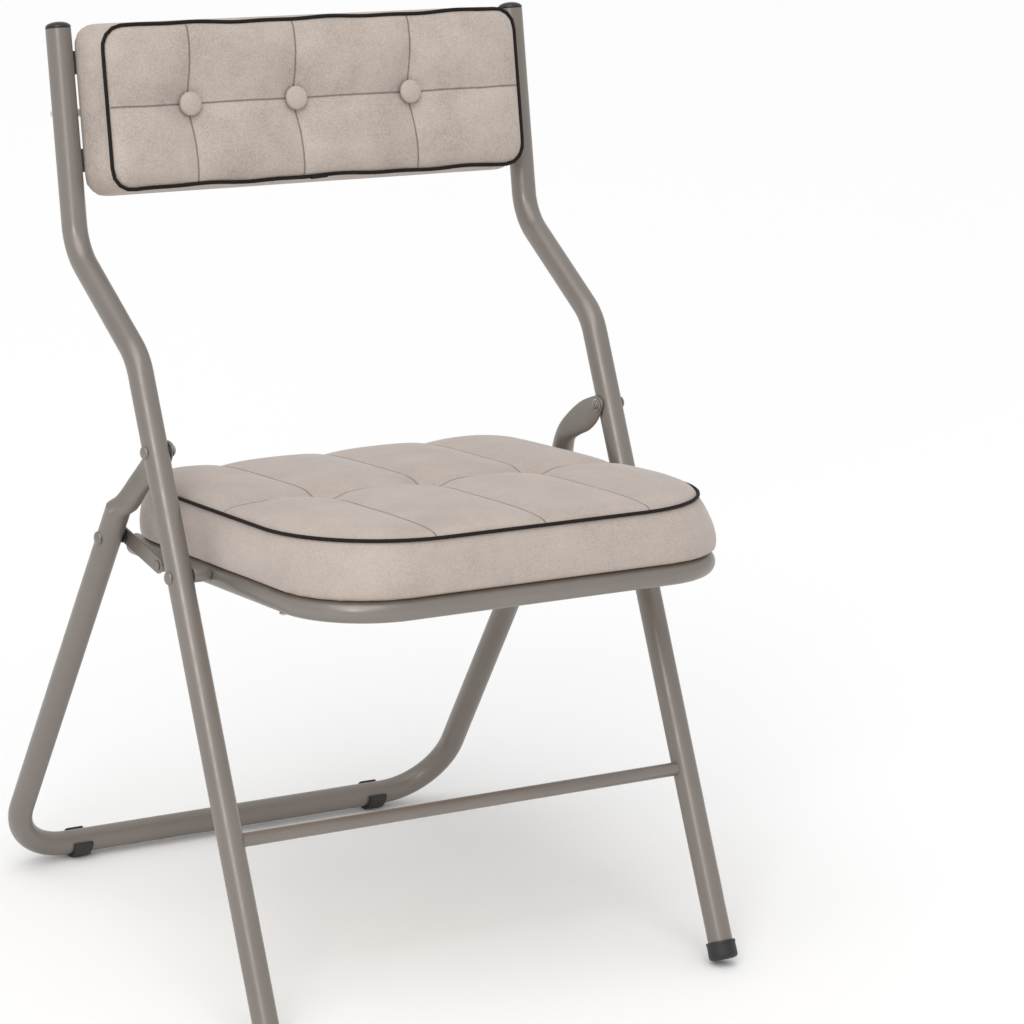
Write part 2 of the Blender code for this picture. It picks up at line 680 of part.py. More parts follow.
def fin_ring(sign, station, wall):
    """A ring of the flattened leg end, in the rear frame: from a thin fin to a full circle."""
    down, rear_share, front_share, roundness = station
    rear = rear_share * (REAR_LEG_BEHIND + TUBE_R)
    front = front_share * (REAR_LEG_BEHIND - TUBE_R)
    thick = FIN_T + roundness * (TUBE_D - FIN_T)
    half_y = max((rear - front) / 2 - wall, 0.0008)
    half_x = thick / 2 - wall * min(1.0, (thick / FIN_T - 1) * 0.4 + 0.85)
    squash = 0.55 + 0.45 * roundness
    inboard = (TUBE_R + GAP + thick / 2) * (1 - roundness) ** 0.45 if roundness < 1 else 0.0
    centre_x = sign * (HALF - inboard)
    centre_y = (rear + front) / 2
    ring = []
    for i in range(TUBE_SIDES):
        turn = 2 * pi * i / TUBE_SIDES
        wide = abs(cos(turn)) ** squash * (1 if cos(turn) > 0 else -1)
        ring.append(Vector((centre_x + half_x * wide, centre_y + half_y * sin(turn), -down)))
    return ring


def rear_leg_rings(wall):
    """Rings from the left fin, down and round the floor bar, up to the right fin."""
    left = [fin_ring(-1, station, wall) for station in FIN_STATIONS]
    right = [[Vector((-x, y, z)) for x, y, z in ring] for ring in left[::-1]]
    y, low = REAR_LEG_BEHIND, -REAR_LENGTH
    start = -FIN_STATIONS[-1][0] - FIN_TO_BEND
    corners = [(-HALF, y, start), (-HALF, y, low), (HALF, y, low), (HALF, y, start)]
    path = frames(filleted(corners, REAR_CORNER_R, steps=6), (1, 0, 0))
    rings = left + [circle(here, TUBE_R - wall, TUBE_SIDES) for here in path] + right
    for i in range(1, len(rings)):
        rings[i] = nearest_order(rings[i - 1], rings[i])
    return rings


def nearest_order(reference, ring):
    """The ring's points, started and turned so that they follow the reference ring."""
    count = len(ring)
    best = None
    for direction in (1, -1):
        for start in range(count):
            order = [ring[(start + direction * i) % count] for i in range(count)]
            gap = sum((a - b).length for a, b in zip(reference, order))
            if best is None or gap < best[0]:
                best = (gap, order)
    return best[1]


def rear_leg_frame(parent):
    outer = rear_leg_rings(0.0)
    inner = [nearest_order(a, b) for a, b in zip(outer, rear_leg_rings(TUBE_WALL))]
    bm = skin_rings(outer + inner[::-1], loop=True)
    legs = add_object("rear_leg_frame", bm, parent, STEEL_PAINT)
    for side, sign in SIDES:
        hole = hole_cutter(HALF - 2 * TUBE_D, HALF + TUBE_D, SHANK_HOLE, "X", 16)
        cut(legs, side + "_fin_hole", hole, flip_x(sign))
        spot = (REAR_LEG_BEHIND, -LINK_PIVOT_DOWN)
        rivet_hole(legs, side + "_hole_3", sign, *spot, HALF + TUBE_R)


def rear_pieces(side, sign, parent):
    spot = (REAR_LEG_BEHIND, -LINK_PIVOT_DOWN)
    seat_x = HALF + TUBE_R - RIVET_SEAT + GAP
    rivet(side + "_link_rivet", parent, sign, *spot, seat_x, LINK_OUT - LINK_T - GAP)
    spacer = (INNER - GAP, LINK_OUT + GAP)
    washer(side + "_link_spacer", parent, sign, *spot, *spacer, BUSH_D, BLACK_PLASTIC)
    outer = INNER - 2 * GAP - FIN_T
    faces = (outer, outer - WASHER_T + GAP)
    washer(side + "_pivot_washer", parent, sign, 0, 0, *faces, WASHER_D, BRIGHT_STEEL)


def rear_foot(side, sign, parent):
    """A saddle clipped round the floor bar from below, with a taller rear lip."""
    inner, outer = TUBE_R + GAP, TUBE_R + GAP + SADDLE_WALL
    steps = 18
    turns = [SADDLE_START + (SADDLE_END - SADDLE_START) * i / steps for i in range(steps + 1)]
    loop = [(outer * cos(t), outer * sin(t)) for t in turns]
    loop += [(inner * cos(t), inner * sin(t)) for t in turns[::-1]]
    centre = sign * (HALF - SADDLE_INSET)
    rings = []
    for x, trim in ((-0.5, SADDLE_EDGE), (-0.46, 0.0), (0.46, 0.0), (0.5, SADDLE_EDGE)):
        ring = []
        for y, z in loop:
            edge = 1 - trim / outer if hypot(y, z) > (inner + outer) / 2 else 1.0
            ring.append((centre + x * SADDLE_WIDTH, BAR_Y + y * edge, BAR_Z + z * edge))
        rings.append(ring)
    place = parent.matrix_world.inverted()
    saddle = add_object(side + "_rear_foot", skin_rings(rings), parent, RUBBER, place)
    cut(saddle, side + "_rear_floor_cut", below_floor(centre, BAR_Y, 2 * outer), place)


# ---- seat ---------------------------------------------------------------------------
def seat_half_width(y):
    """Half the cushion's width at y, measured back from pivot 2."""
    share = (y + SEAT_FRONT) / (SEAT_FRONT + SEAT_REAR)
    return (SEAT_FRONT_W + (SEAT_REAR_W - SEAT_FRONT_W) * share) / 2


def seat_outline(inset=0.0, draw=0.0):
    """The seat's outline. draw goes from 0 at its base to 1 at the piping."""
    inset += draw * SEAT_DRAW
    front, rear = -SEAT_FRONT + inset, SEAT_REAR - inset
    wide, narrow = seat_half_width(front) - inset, seat_half_width(rear) - inset
    corners = [(-wide, front), (wide, front), (narrow, rear), (-narrow, rear)]
    front_r = SEAT_FRONT_R + draw * SEAT_DRAW_R - inset
    radii = [front_r, front_r, SEAT_REAR_R - inset, SEAT_REAR_R - inset]
    return rounded_outline(corners, [max(radius, 0.004) for radius in radii], steps=6)


def seat_top_outline(inset):
    return seat_outline(inset, draw=1.0)


def seat_rings(layers, outline=seat_outline):
    return [[(x, y, z) for x, y in outline(inset)] for inset, z in layers]


def seat_cushion(parent):
    base, top = SEAT_BASE, SEAT_BASE + SEAT_BOXING
    recess = base + SEAT_BOARD_T + GAP
    board = SEAT_BOARD_INSET
    rings = seat_rings([(board, recess), (board, base), (0.001, base), (0.0, base + SEAT_EDGE_R)])
    rings.append([(x, y, SEAT_BULGE_UP) for x, y in seat_outline(-SEAT_BULGE, SEAT_BULGE_DRAW)])
    layers = [(inset, top + lift) for inset, lift in PIPING_GROOVE]
    for inset, share in ((0.010, 0.5), (0.030, 0.8), (0.060, 1.0)):
        layers.append((inset, top + share * SEAT_CROWN))
    rings += seat_rings(layers, seat_top_outline)
    add_object("seat_cushion", skin_rings(rings), parent, FABRIC)


def seat_piping(parent):
    def plane(points, lift):
        return [(x, y, SEAT_BASE + SEAT_BOXING + lift) for x, y in points]

    add_object("seat_piping", piping_ring(seat_top_outline, plane), parent, PIPING)


def seat_board(parent):
    board = SEAT_BOARD_INSET + GAP
    rings = seat_rings([(board, SEAT_BASE), (board, SEAT_BASE + SEAT_BOARD_T)])
    made = add_object("seat_board", skin_rings(rings), parent, PLYWOOD, smooth=False)
    for number, (x, y) in enumerate(seat_screw_places()):
        hole = hole_cutter(-SEAT_BOARD_T, SEAT_BOARD_T * 0.8, SEAT_SCREW_D / 2 + GAP)
        cut(made, "seat_board_hole_%d" % number, hole, at(x, y, SEAT_BASE))


def seat_tube_line(y):
    """Half the spacing of the seat tube's two sides at y."""
    return seat_half_width(y) - SEAT_TUBE_INSET - SEAT_TUBE_R


def seat_frame_tube(parent):
    inset = SEAT_TUBE_INSET + SEAT_TUBE_R
    z = -SEAT_TUBE_DROP
    front, rear = -SEAT_FRONT + inset, SEAT_REAR - SEAT_TUBE_SHORT
    wide, narrow = seat_tube_line(front), seat_tube_line(rear)
    corners = [(-narrow, rear, z), (-wide, front, z), (wide, front, z), (narrow, rear, z)]
    path = filleted(corners, SEAT_FRONT_R - inset, steps=5)
    bm = hollow_tube(path, (0, 0, 1), SEAT_TUBE_R, TUBE_WALL, 14)
    tube = add_object("seat_frame_tube", bm, parent, STEEL_PAINT)
    for side, sign in SIDES:
        hole = hole_cutter(INNER - 3 * SEAT_TUBE_D, INNER, SHANK_HOLE, "X", 12)
        cut(tube, side + "_seat_tube_hole", hole, flip_x(sign))
    for number, (x, y) in enumerate(seat_screw_places()):
        hole = hole_cutter(-SEAT_TUBE_D, SEAT_TUBE_D, SEAT_SCREW_D / 2 + GAP, sides=12)
        cut(tube, "seat_tube_screw_hole_%d" % number, hole, at(x, y, 0))


def seat_screw_places():
    lines = (-SEAT_FRONT * SEAT_SCREWS_AHEAD, SEAT_REAR * SEAT_SCREWS_BEHIND)
    return [(sign * seat_tube_line(y), y) for y in lines for side, sign in SIDES]


def seat_screw(name, x, y, parent):
    shank, head = SEAT_SCREW_D / 2, SEAT_SCREW_D * 0.95
    under = -SEAT_TUBE_DROP - SEAT_TUBE_R - GAP
    tip = SEAT_BASE + SEAT_BOARD_T * 0.7
    profile = [(under - 0.6 * head * sin(turn), head * cos(turn)) for turn in (1.4, 0.9, 0.4)]
    profile += [(under, head), (under, shank), (tip - shank / 2, shank), (tip, shank / 2)]
    add_object(name, turned(profile, sides=12), parent, BRIGHT_STEEL, at(x, y, 0))


def seat_rear_bar(parent):
    y = SEAT_REAR - SEAT_TUBE_SHORT - REAR_BAR_AHEAD
    end = seat_tube_line(y + REAR_BAR_D / 2) - SEAT_TUBE_R - GAP
    path = [Vector((side * end, y, -SEAT_TUBE_DROP)) for side in (-1, 1)]
    bm = hollow_tube(path, (0, 0, 1), REAR_BAR_D / 2, TUBE_WALL, 12)
    add_object("seat_rear_bar", bm, parent, STEEL_PAINT)


def seat_pieces(side, sign, parent):
    seat_bush(side, sign, parent)
    link_boss(side, sign, parent)
    seat_end_plug(side, sign, parent)


def seat_bush(side, sign, parent):
    faces = (INNER - GAP, seat_tube_line(0) + SEAT_TUBE_R + BUSH_CLEAR)
    washer(side + "_seat_bush", parent, sign, 0, 0, *faces, BUSH_D, STEEL_PAINT)


def link_boss(side, sign, parent):
    inner = seat_tube_line(LINK_SEAT_BACK) + SEAT_TUBE_R + BUSH_CLEAR
    rim = BUSH_D / 2
    profile = [(inner, rim - 2 * GAP), (inner, rim), (LINK_OUT - LINK_T - GAP, rim)]
    place = flip_x(sign) @ at(0, LINK_SEAT_BACK, -SEAT_TUBE_DROP)
    add_object(side + "_link_boss", turned(profile, "X", 16), parent, STEEL_PAINT, place)


def seat_end_plug(side, sign, parent):
    rear = SEAT_REAR - SEAT_TUBE_SHORT
    stem = SEAT_TUBE_R - TUBE_WALL - GAP
    cap = [
        (-SEAT_PLUG_STEM, stem - 0.001),
        (-SEAT_PLUG_STEM + 0.001, stem),
        (GAP, stem),
        (GAP, SEAT_TUBE_R),
        (0.6 * SEAT_PLUG_H, 0.96 * SEAT_TUBE_R),
        (SEAT_PLUG_H, 0.68 * SEAT_TUBE_R),
    ]
    taper = atan2(SEAT_TAPER / 2, SEAT_FRONT + SEAT_REAR)
    place = at(sign * seat_tube_line(rear), rear, -SEAT_TUBE_DROP)
    place = place @ Matrix.Rotation(sign * taper, 4, "Z") @ FACING_BACK
    add_object(side + "_seat_end_plug", turned(cap, sides=16), parent, BLACK_PLASTIC, place)


# ---- links --------------------------------------------------------------------------
def link(side, sign):
    """A flat bar with round ends, from pivot 3 (its group's origin) forward to pivot 4."""
    spot = Matrix.Translation(PIVOT_3) @ Matrix.Rotation(LINK_ANGLE, 4, "X")
    pivot = group(side + "_link_pivot", spot)
    half, steps = LINK_W / 2, 8
    turns = [pi * i / steps - pi / 2 for i in range(steps + 1)]
    loop = [(half * cos(t), half * sin(t)) for t in turns]
    loop += [(-LINK_LENGTH - half * cos(t), -half * sin(t)) for t in turns]
    faces = (sign * (LINK_OUT - LINK_T), sign * LINK_OUT)
    rings = [[(x, y, z) for y, z in loop] for x in faces]
    plate = add_object(side + "_link", skin_rings(rings), pivot, STEEL_PAINT)
    for number, y in enumerate((0.0, -LINK_LENGTH)):
        hole = hole_cutter(HALF - 2 * TUBE_D, HALF + TUBE_D, SHANK_HOLE, "X", 16)
        cut(plate, "%s_link_hole_%d" % (side, number), hole, flip_x(sign) @ at(0, y, 0))
    link_front_rivet(side, sign, pivot)


def link_front_rivet(side, sign, pivot):
    shank, head = RIVET_D / 2, LINK_HEAD_D / 2
    face = LINK_OUT + GAP
    profile = [
        (LINK_OUT - LINK_T, shank),
        (face, shank),
        (face, head),
        (face + LINK_HEAD_H / 2, head),
        (face + LINK_HEAD_H, head * 0.7),
    ]
    place = flip_x(sign) @ at(0, -LINK_LENGTH, 0)
    add_object(side + "_link_front_rivet", turned(profile, "X", 16), pivot, STEEL_PAINT, place)


# ---- the chair ----------------------------------------------------------------------
clear_scene()
STEEL_PAINT = material("steel_paint", (0.235, 0.205, 0.180), 0.42, 0.25)
BRIGHT_STEEL = material("bright_steel", (0.55, 0.54, 0.52), 0.30, 0.9)
BLACK_PLASTIC = material("black_plastic", (0.014, 0.014, 0.014), 0.35)
RUBBER = material("rubber", (0.016, 0.016, 0.016), 0.6)
GREY_PLASTIC = material("grey_plastic", (0.56, 0.56, 0.56), 0.45)
FABRIC = material("fabric", (0.50, 0.43, 0.37), 0.9)
PIPING = material("piping", (0.020, 0.017, 0.016), 0.6)
PLYWOOD = material("plywood", (0.50, 0.36, 0.22), 0.7)

front = group("front_frame_origin", FRONT_FRAME)
rear = group("rear_frame_pivot", REAR_FRAME)
seat = group("seat_pivot", SEAT_FRAME)
bpy.context.view_layer.update()

for side, sign in SIDES:
    side_tube(side, sign, front)
    top_plug(side, sign, front)
    front_boot(side, sign, front)
    front_rivets(side, sign, front)
    rear_pieces(side, sign, rear)
    rear_foot(side, sign, rear)
    seat_pieces(side, sign, seat)
    link(side, sign)

front_cross_rod(front)
for name, z in zip(("lower", "upper"), rail_heights()):
    back_rail(name + "_back_rail", z, front)
back_board(front)
back_cushion(front)
back_piping(front)
for name, x in zip(("left", "middle", "right"), BUTTON_PLACES):
    back_button(name + "_back_button", x, front)
back_panel(front)
CORNERS = ("lower_left", "lower_right", "upper_left", "upper_right")
for name, (x, z) in zip(CORNERS, panel_screw_places()):
    panel_screw(name + "_panel_screw", x, z, front)
carry_handle(front)

rear_leg_frame(rear)

seat_frame_tube(seat)
seat_rear_bar(seat)
seat_board(seat)
seat_cushion(seat)
seat_piping(seat)
QUARTERS = ("front_left", "front_right", "rear_left", "rear_right")
for name, (x, y) in zip(QUARTERS, seat_screw_places()):
    seat_screw(name + "_seat_screw", x, y, seat)

print("rear lean %.3f deg, link %.4f m" % (degrees(REAR_LEAN), LINK_LENGTH))
print("pivots (y, z): 1 %.5f %.5f, 2 %.5f %.5f, 3 %.5f %.5f, 4 %.5f %.5f" % (
    *PIVOT_1, *PIVOT_2, *PIVOT_3.yz, *PIVOT_4.yz))
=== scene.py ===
"""The folding chair's looks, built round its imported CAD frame.

Metres, +Z up, -Y the chair's front. Places come from the frame's boxes and joints, and the
driving sizes below repeat the CAD's own. The cushions and their piping are built in the local
frame of the seat or the backrest (x across, y along, z out of the padding), then placed.
"""

import json
from math import asin, atan2, cos, degrees, exp, hypot, pi, radians, sin, sqrt

import bmesh
import bpy
from mathutils import Matrix, Vector


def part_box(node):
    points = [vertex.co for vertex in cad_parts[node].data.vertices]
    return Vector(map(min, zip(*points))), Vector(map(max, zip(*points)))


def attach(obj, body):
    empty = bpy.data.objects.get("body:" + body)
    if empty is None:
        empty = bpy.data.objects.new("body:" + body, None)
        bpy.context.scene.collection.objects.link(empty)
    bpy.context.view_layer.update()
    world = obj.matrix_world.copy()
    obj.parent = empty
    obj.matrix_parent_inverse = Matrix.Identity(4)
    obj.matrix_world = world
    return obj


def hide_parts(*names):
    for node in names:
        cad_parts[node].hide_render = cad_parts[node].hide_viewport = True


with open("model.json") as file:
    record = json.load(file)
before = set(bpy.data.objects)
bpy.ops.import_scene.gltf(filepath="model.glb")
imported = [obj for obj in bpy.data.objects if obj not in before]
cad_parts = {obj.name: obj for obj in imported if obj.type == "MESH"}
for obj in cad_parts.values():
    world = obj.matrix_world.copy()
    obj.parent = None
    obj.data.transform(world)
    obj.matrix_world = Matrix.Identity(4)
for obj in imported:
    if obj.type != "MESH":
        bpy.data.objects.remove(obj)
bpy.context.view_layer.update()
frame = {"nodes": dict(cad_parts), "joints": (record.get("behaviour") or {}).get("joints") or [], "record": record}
JOINT_AT = {joint["name"]: Vector(joint["pos_m"]) for joint in frame["joints"]}


def middle(node):
    low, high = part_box(node)
    return (low + high) / 2


def size(node):
    low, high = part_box(node)
    return high - low


# ---- sizes --------------------------------------------------------------------------
TUBE_R = size("right_top_plug").x / 2
HALF = middle("right_side_tube").x  # side tube's centre from the middle plane
GAP = 0.0003

LEG_LEAN = radians(26.84)
OFFSET_LEAN = radians(59.14)
BACK_LEAN = radians(13.74)
SEAT_TILT = radians(5.59)
LEG_LENGTH = 0.5818
OFFSET_LENGTH = 0.134
BACK_LENGTH = 0.188
REAR_PIVOT_UP = 0.5005
BEND_R = 0.052
REAR_CORNER_R = 0.060
LEG_BEHIND = 0.0255             # rear leg's centre behind its pivot
SEAT_FRONT = 0.209              # cushion edges from pivot 2
SEAT_REAR = 0.168
SEAT_HALF = 0.2125              # half the cushion's width at its front
SEAT_TAPER = 0.031
SEAT_FRONT_R = 0.080
SEAT_REAR_R = 0.055
SEAT_DRAW = 0.004               # how far the boxing leans in from base to piping
SEAT_DRAW_R = 0.026             # how much rounder the front corners are up there
SEAT_BASE = 0.0068              # cushion's underside above pivot 2
SEAT_TOP = 0.0538               # piping plane above pivot 2
SEAT_TUBE_R = 0.0095
SEAT_TUBE_DROP = 0.003
SEAT_TUBE_INSET = 0.0015
SEAT_TUBE_SHORT = 0.012
CUSHION_HALF = 0.216            # backrest cushion, in the backrest's frame
CUSHION_LOW = 0.0450
CUSHION_HIGH = 0.1884
CUSHION_R = 0.016
CUSHION_FRONT = 0.0365          # piping plane in front of the tubes' axes
CUSHION_BACK = 0.0012
CUSHION_DRAW_X = 0.008          # how far its sides lean in to the piping
CUSHION_DRAW_Z = 0.002          # the same for its top and bottom
CUSHION_PULL = 0.0012           # how far those pull in between the corners
PANEL_INSET = 0.008             # rear cover's edge inside the cushion's
FIN_T = 0.003
CORD_R = 0.0016
LINK_T = 0.002
LINK_W = 0.0145
SADDLE_T = 0.0031               # wall of the saddles on the floor bar
BOOT_T = 0.0018
HANDLE_R = 0.0034
HANDLE_BEHIND = 0.028           # handle's centre behind the tubes' axes

PIVOT_1 = JOINT_AT["rear_leg_fold"]
PIVOT_2 = JOINT_AT["seat_fold"]
BAR = middle("right_rear_foot")
BAR_HEIGHT = TUBE_R + GAP + 0.0029  # floor bar's centre
BAR_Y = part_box("right_rear_foot")[1].y - TUBE_R - GAP - 0.0032
CUSHION_MID = (CUSHION_LOW + CUSHION_HIGH) / 2
BUTTONS = ("left", "middle", "right")
BUTTON_PLACES = [middle(side + "_back_button").x for side in BUTTONS]
SEAT_SEAMS = (-0.105, 0.0, 0.105)
SEAT_CROSS_SEAM = -0.020        # behind pivot 2
SEAM_REACH = 0.030              # how far from the cross seam a seam starts to bow
BACK_BOW = 0.0022
SEAT_SHAPE = dict(
    seams_x=SEAT_SEAMS, seam_y=SEAT_CROSS_SEAM, bow=0.0,
    seam_depth=0.0060, pit_depth=0.0088, pit_r=0.019,
)
BACK_SHAPE = dict(
    seams_x=BUTTON_PLACES, seam_y=CUSHION_MID, bow=BACK_BOW,
    seam_depth=0.0056, pit_depth=0.0074, pit_r=0.024,
)
SEAT_POINTS = 160               # points round each cushion's outline
BACK_POINTS = 132
SEAT_VOXEL = 0.0045
BACK_VOXEL = 0.0030
CLOTH_FRAMES = 20
CLOTH_PRESSURE = 4.0
SEAT_MOST_MOVE = 0.006          # cap on what the simulation moves
BACK_MOST_MOVE = 0.005


def along(start, lean, length):
    """The point that far up a line leaning back from the vertical."""
    return start + Vector((0, sin(lean), cos(lean))) * length


FOOT = along(Vector((0, PIVOT_1.y, PIVOT_1.z)), LEG_LEAN, -REAR_PIVOT_UP)
LOW_BEND = along(FOOT, LEG_LEAN, LEG_LENGTH)
HIGH_BEND = along(LOW_BEND, OFFSET_LEAN, OFFSET_LENGTH)
TUBE_TOP = along(HIGH_BEND, BACK_LEAN, BACK_LENGTH)

BACK_FRAME = Matrix.Translation(HIGH_BEND) @ Matrix.Rotation(-BACK_LEAN, 4, "X")
SEAT_PIVOT = Matrix.Translation((0, PIVOT_2.y, PIVOT_2.z))
SEAT_FRAME = SEAT_PIVOT @ Matrix.Rotation(-SEAT_TILT, 4, "X")


# ---- mesh helpers -------------------------------------------------------------------
def linked(name, data):
    """A new object in the scene."""
    made = bpy.data.objects.new(name, data)
    bpy.context.scene.collection.objects.link(made)
    return made


def mesh_of(name, bm):
    bmesh.ops.recalc_face_normals(bm, faces=bm.faces)
    mesh = bpy.data.meshes.new(name)
    bm.to_mesh(mesh)
    bm.free()
    return mesh


def add_piece(name, bm, body, finish, replaced=(), smooth_angle=40):
    """One visual piece that rides on a body and stands for the CAD nodes it replaces."""
    mesh = mesh_of(name, bm)
    mesh.shade_smooth()
    mesh.set_sharp_from_angle(angle=radians(smooth_angle))
    mesh.materials.append(finish)
    settle(linked(name, mesh), body, replaced)


def settle(piece, body, replaced=()):
    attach(piece, body)
    if replaced:
        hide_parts(*replaced)


def skin_rings(rings, loop=False):
    """A mesh through rings of the same number of points, capped at its ends or joined round."""
    bm = bmesh.new()
    rows = [[bm.verts.new(point) for point in ring] for ring in rings]
    pairs = list(zip(rows, rows[1:]))
    if loop:
        pairs.append((rows[-1], rows[0]))
    else:
        bm.faces.new(reversed(rows[0]))
        bm.faces.new(rows[-1])
    count = len(rows[0])
    for lower, upper in pairs:
        for i in range(count):
            k = (i + 1) % count
            bm.faces.new((lower[i], lower[k], upper[k], upper[i]))
    return bm


def filleted(corners, radius, steps=14):
    """The corner list with each inner corner turned into an arc of that radius."""
    corners = [Vector(corner) for corner in corners]
    points = [corners[0]]
    for before, corner, after in zip(corners, corners[1:], corners[2:]):
        back = (before - corner).normalized()
        ahead = (after - corner).normalized()
        half_turn = back.angle(ahead) / 2
        centre = corner + (back + ahead).normalized() * radius / sin(half_turn)
        reach = radius * cos(half_turn) / sin(half_turn)
        arm = corner + back * reach - centre
        last = corner + ahead * reach - centre
        swing = arm.angle(last)
        axis = arm.cross(last).normalized()
        for i in range(steps + 1):
            points.append(centre + Matrix.Rotation(swing * i / steps, 3, axis) @ arm)
    points.append(corners[-1])
    return points


def frames(points, side):
    """Along each point of the path: the point and two unit vectors across it."""
    found = []
    across = Vector(side).normalized()
    for i, point in enumerate(points):
        before = points[max(i - 1, 0)]
        after = points[min(i + 1, len(points) - 1)]
        ahead = (after - before).normalized()
        across = (across - ahead * across.dot(ahead)).normalized()
        found.append((point, across, ahead.cross(across)))
    return found


def circle(frame_here, radius, sides):
    point, across, up = frame_here
    turns = [2 * pi * i / sides for i in range(sides)]
    return [point + across * radius * cos(t) + up * radius * sin(t) for t in turns]


def sweep(points, side, radius, sides=36):
    return skin_rings([circle(here, radius, sides) for here in frames(points, side)])


def turned(profile, sides=40, loop=False):
    """A solid of revolution about Z from (height, radius) points, or a ring if they loop."""
    rings = []
    for height, radius in profile:
        turns = [2 * pi * i / sides for i in range(sides)]
        rings.append([(radius * cos(t), radius * sin(t), height) for t in turns])
    return skin_rings(rings, loop)


def placed(bm, matrix):
    bm.transform(matrix)
    return bm


def at(x, y, z):
    return Matrix.Translation((x, y, z))


def flip_x(sign):
    return Matrix.Diagonal((sign, 1, 1, 1))


def steps_between(start, end, count):
    return [start + (end - start) * i / (count - 1) for i in range(count)]


def dome(base, rise, rim, start, end, count):
    """(height, radius) points of a dome's profile, from near its rim to near its top."""
    turns = steps_between(start, end, count)
    return [(base + rise * sin(t), rim * cos(t)) for t in turns]


FACING_OUT = Matrix.Rotation(pi / 2, 4, "Y")  # turns +Z to +X
FACING_BACK = Matrix.Rotation(-pi / 2, 4, "X")  # turns +Z to +Y
FACING_FRONT = Matrix.Rotation(pi / 2, 4, "X")  # turns +Z to -Y


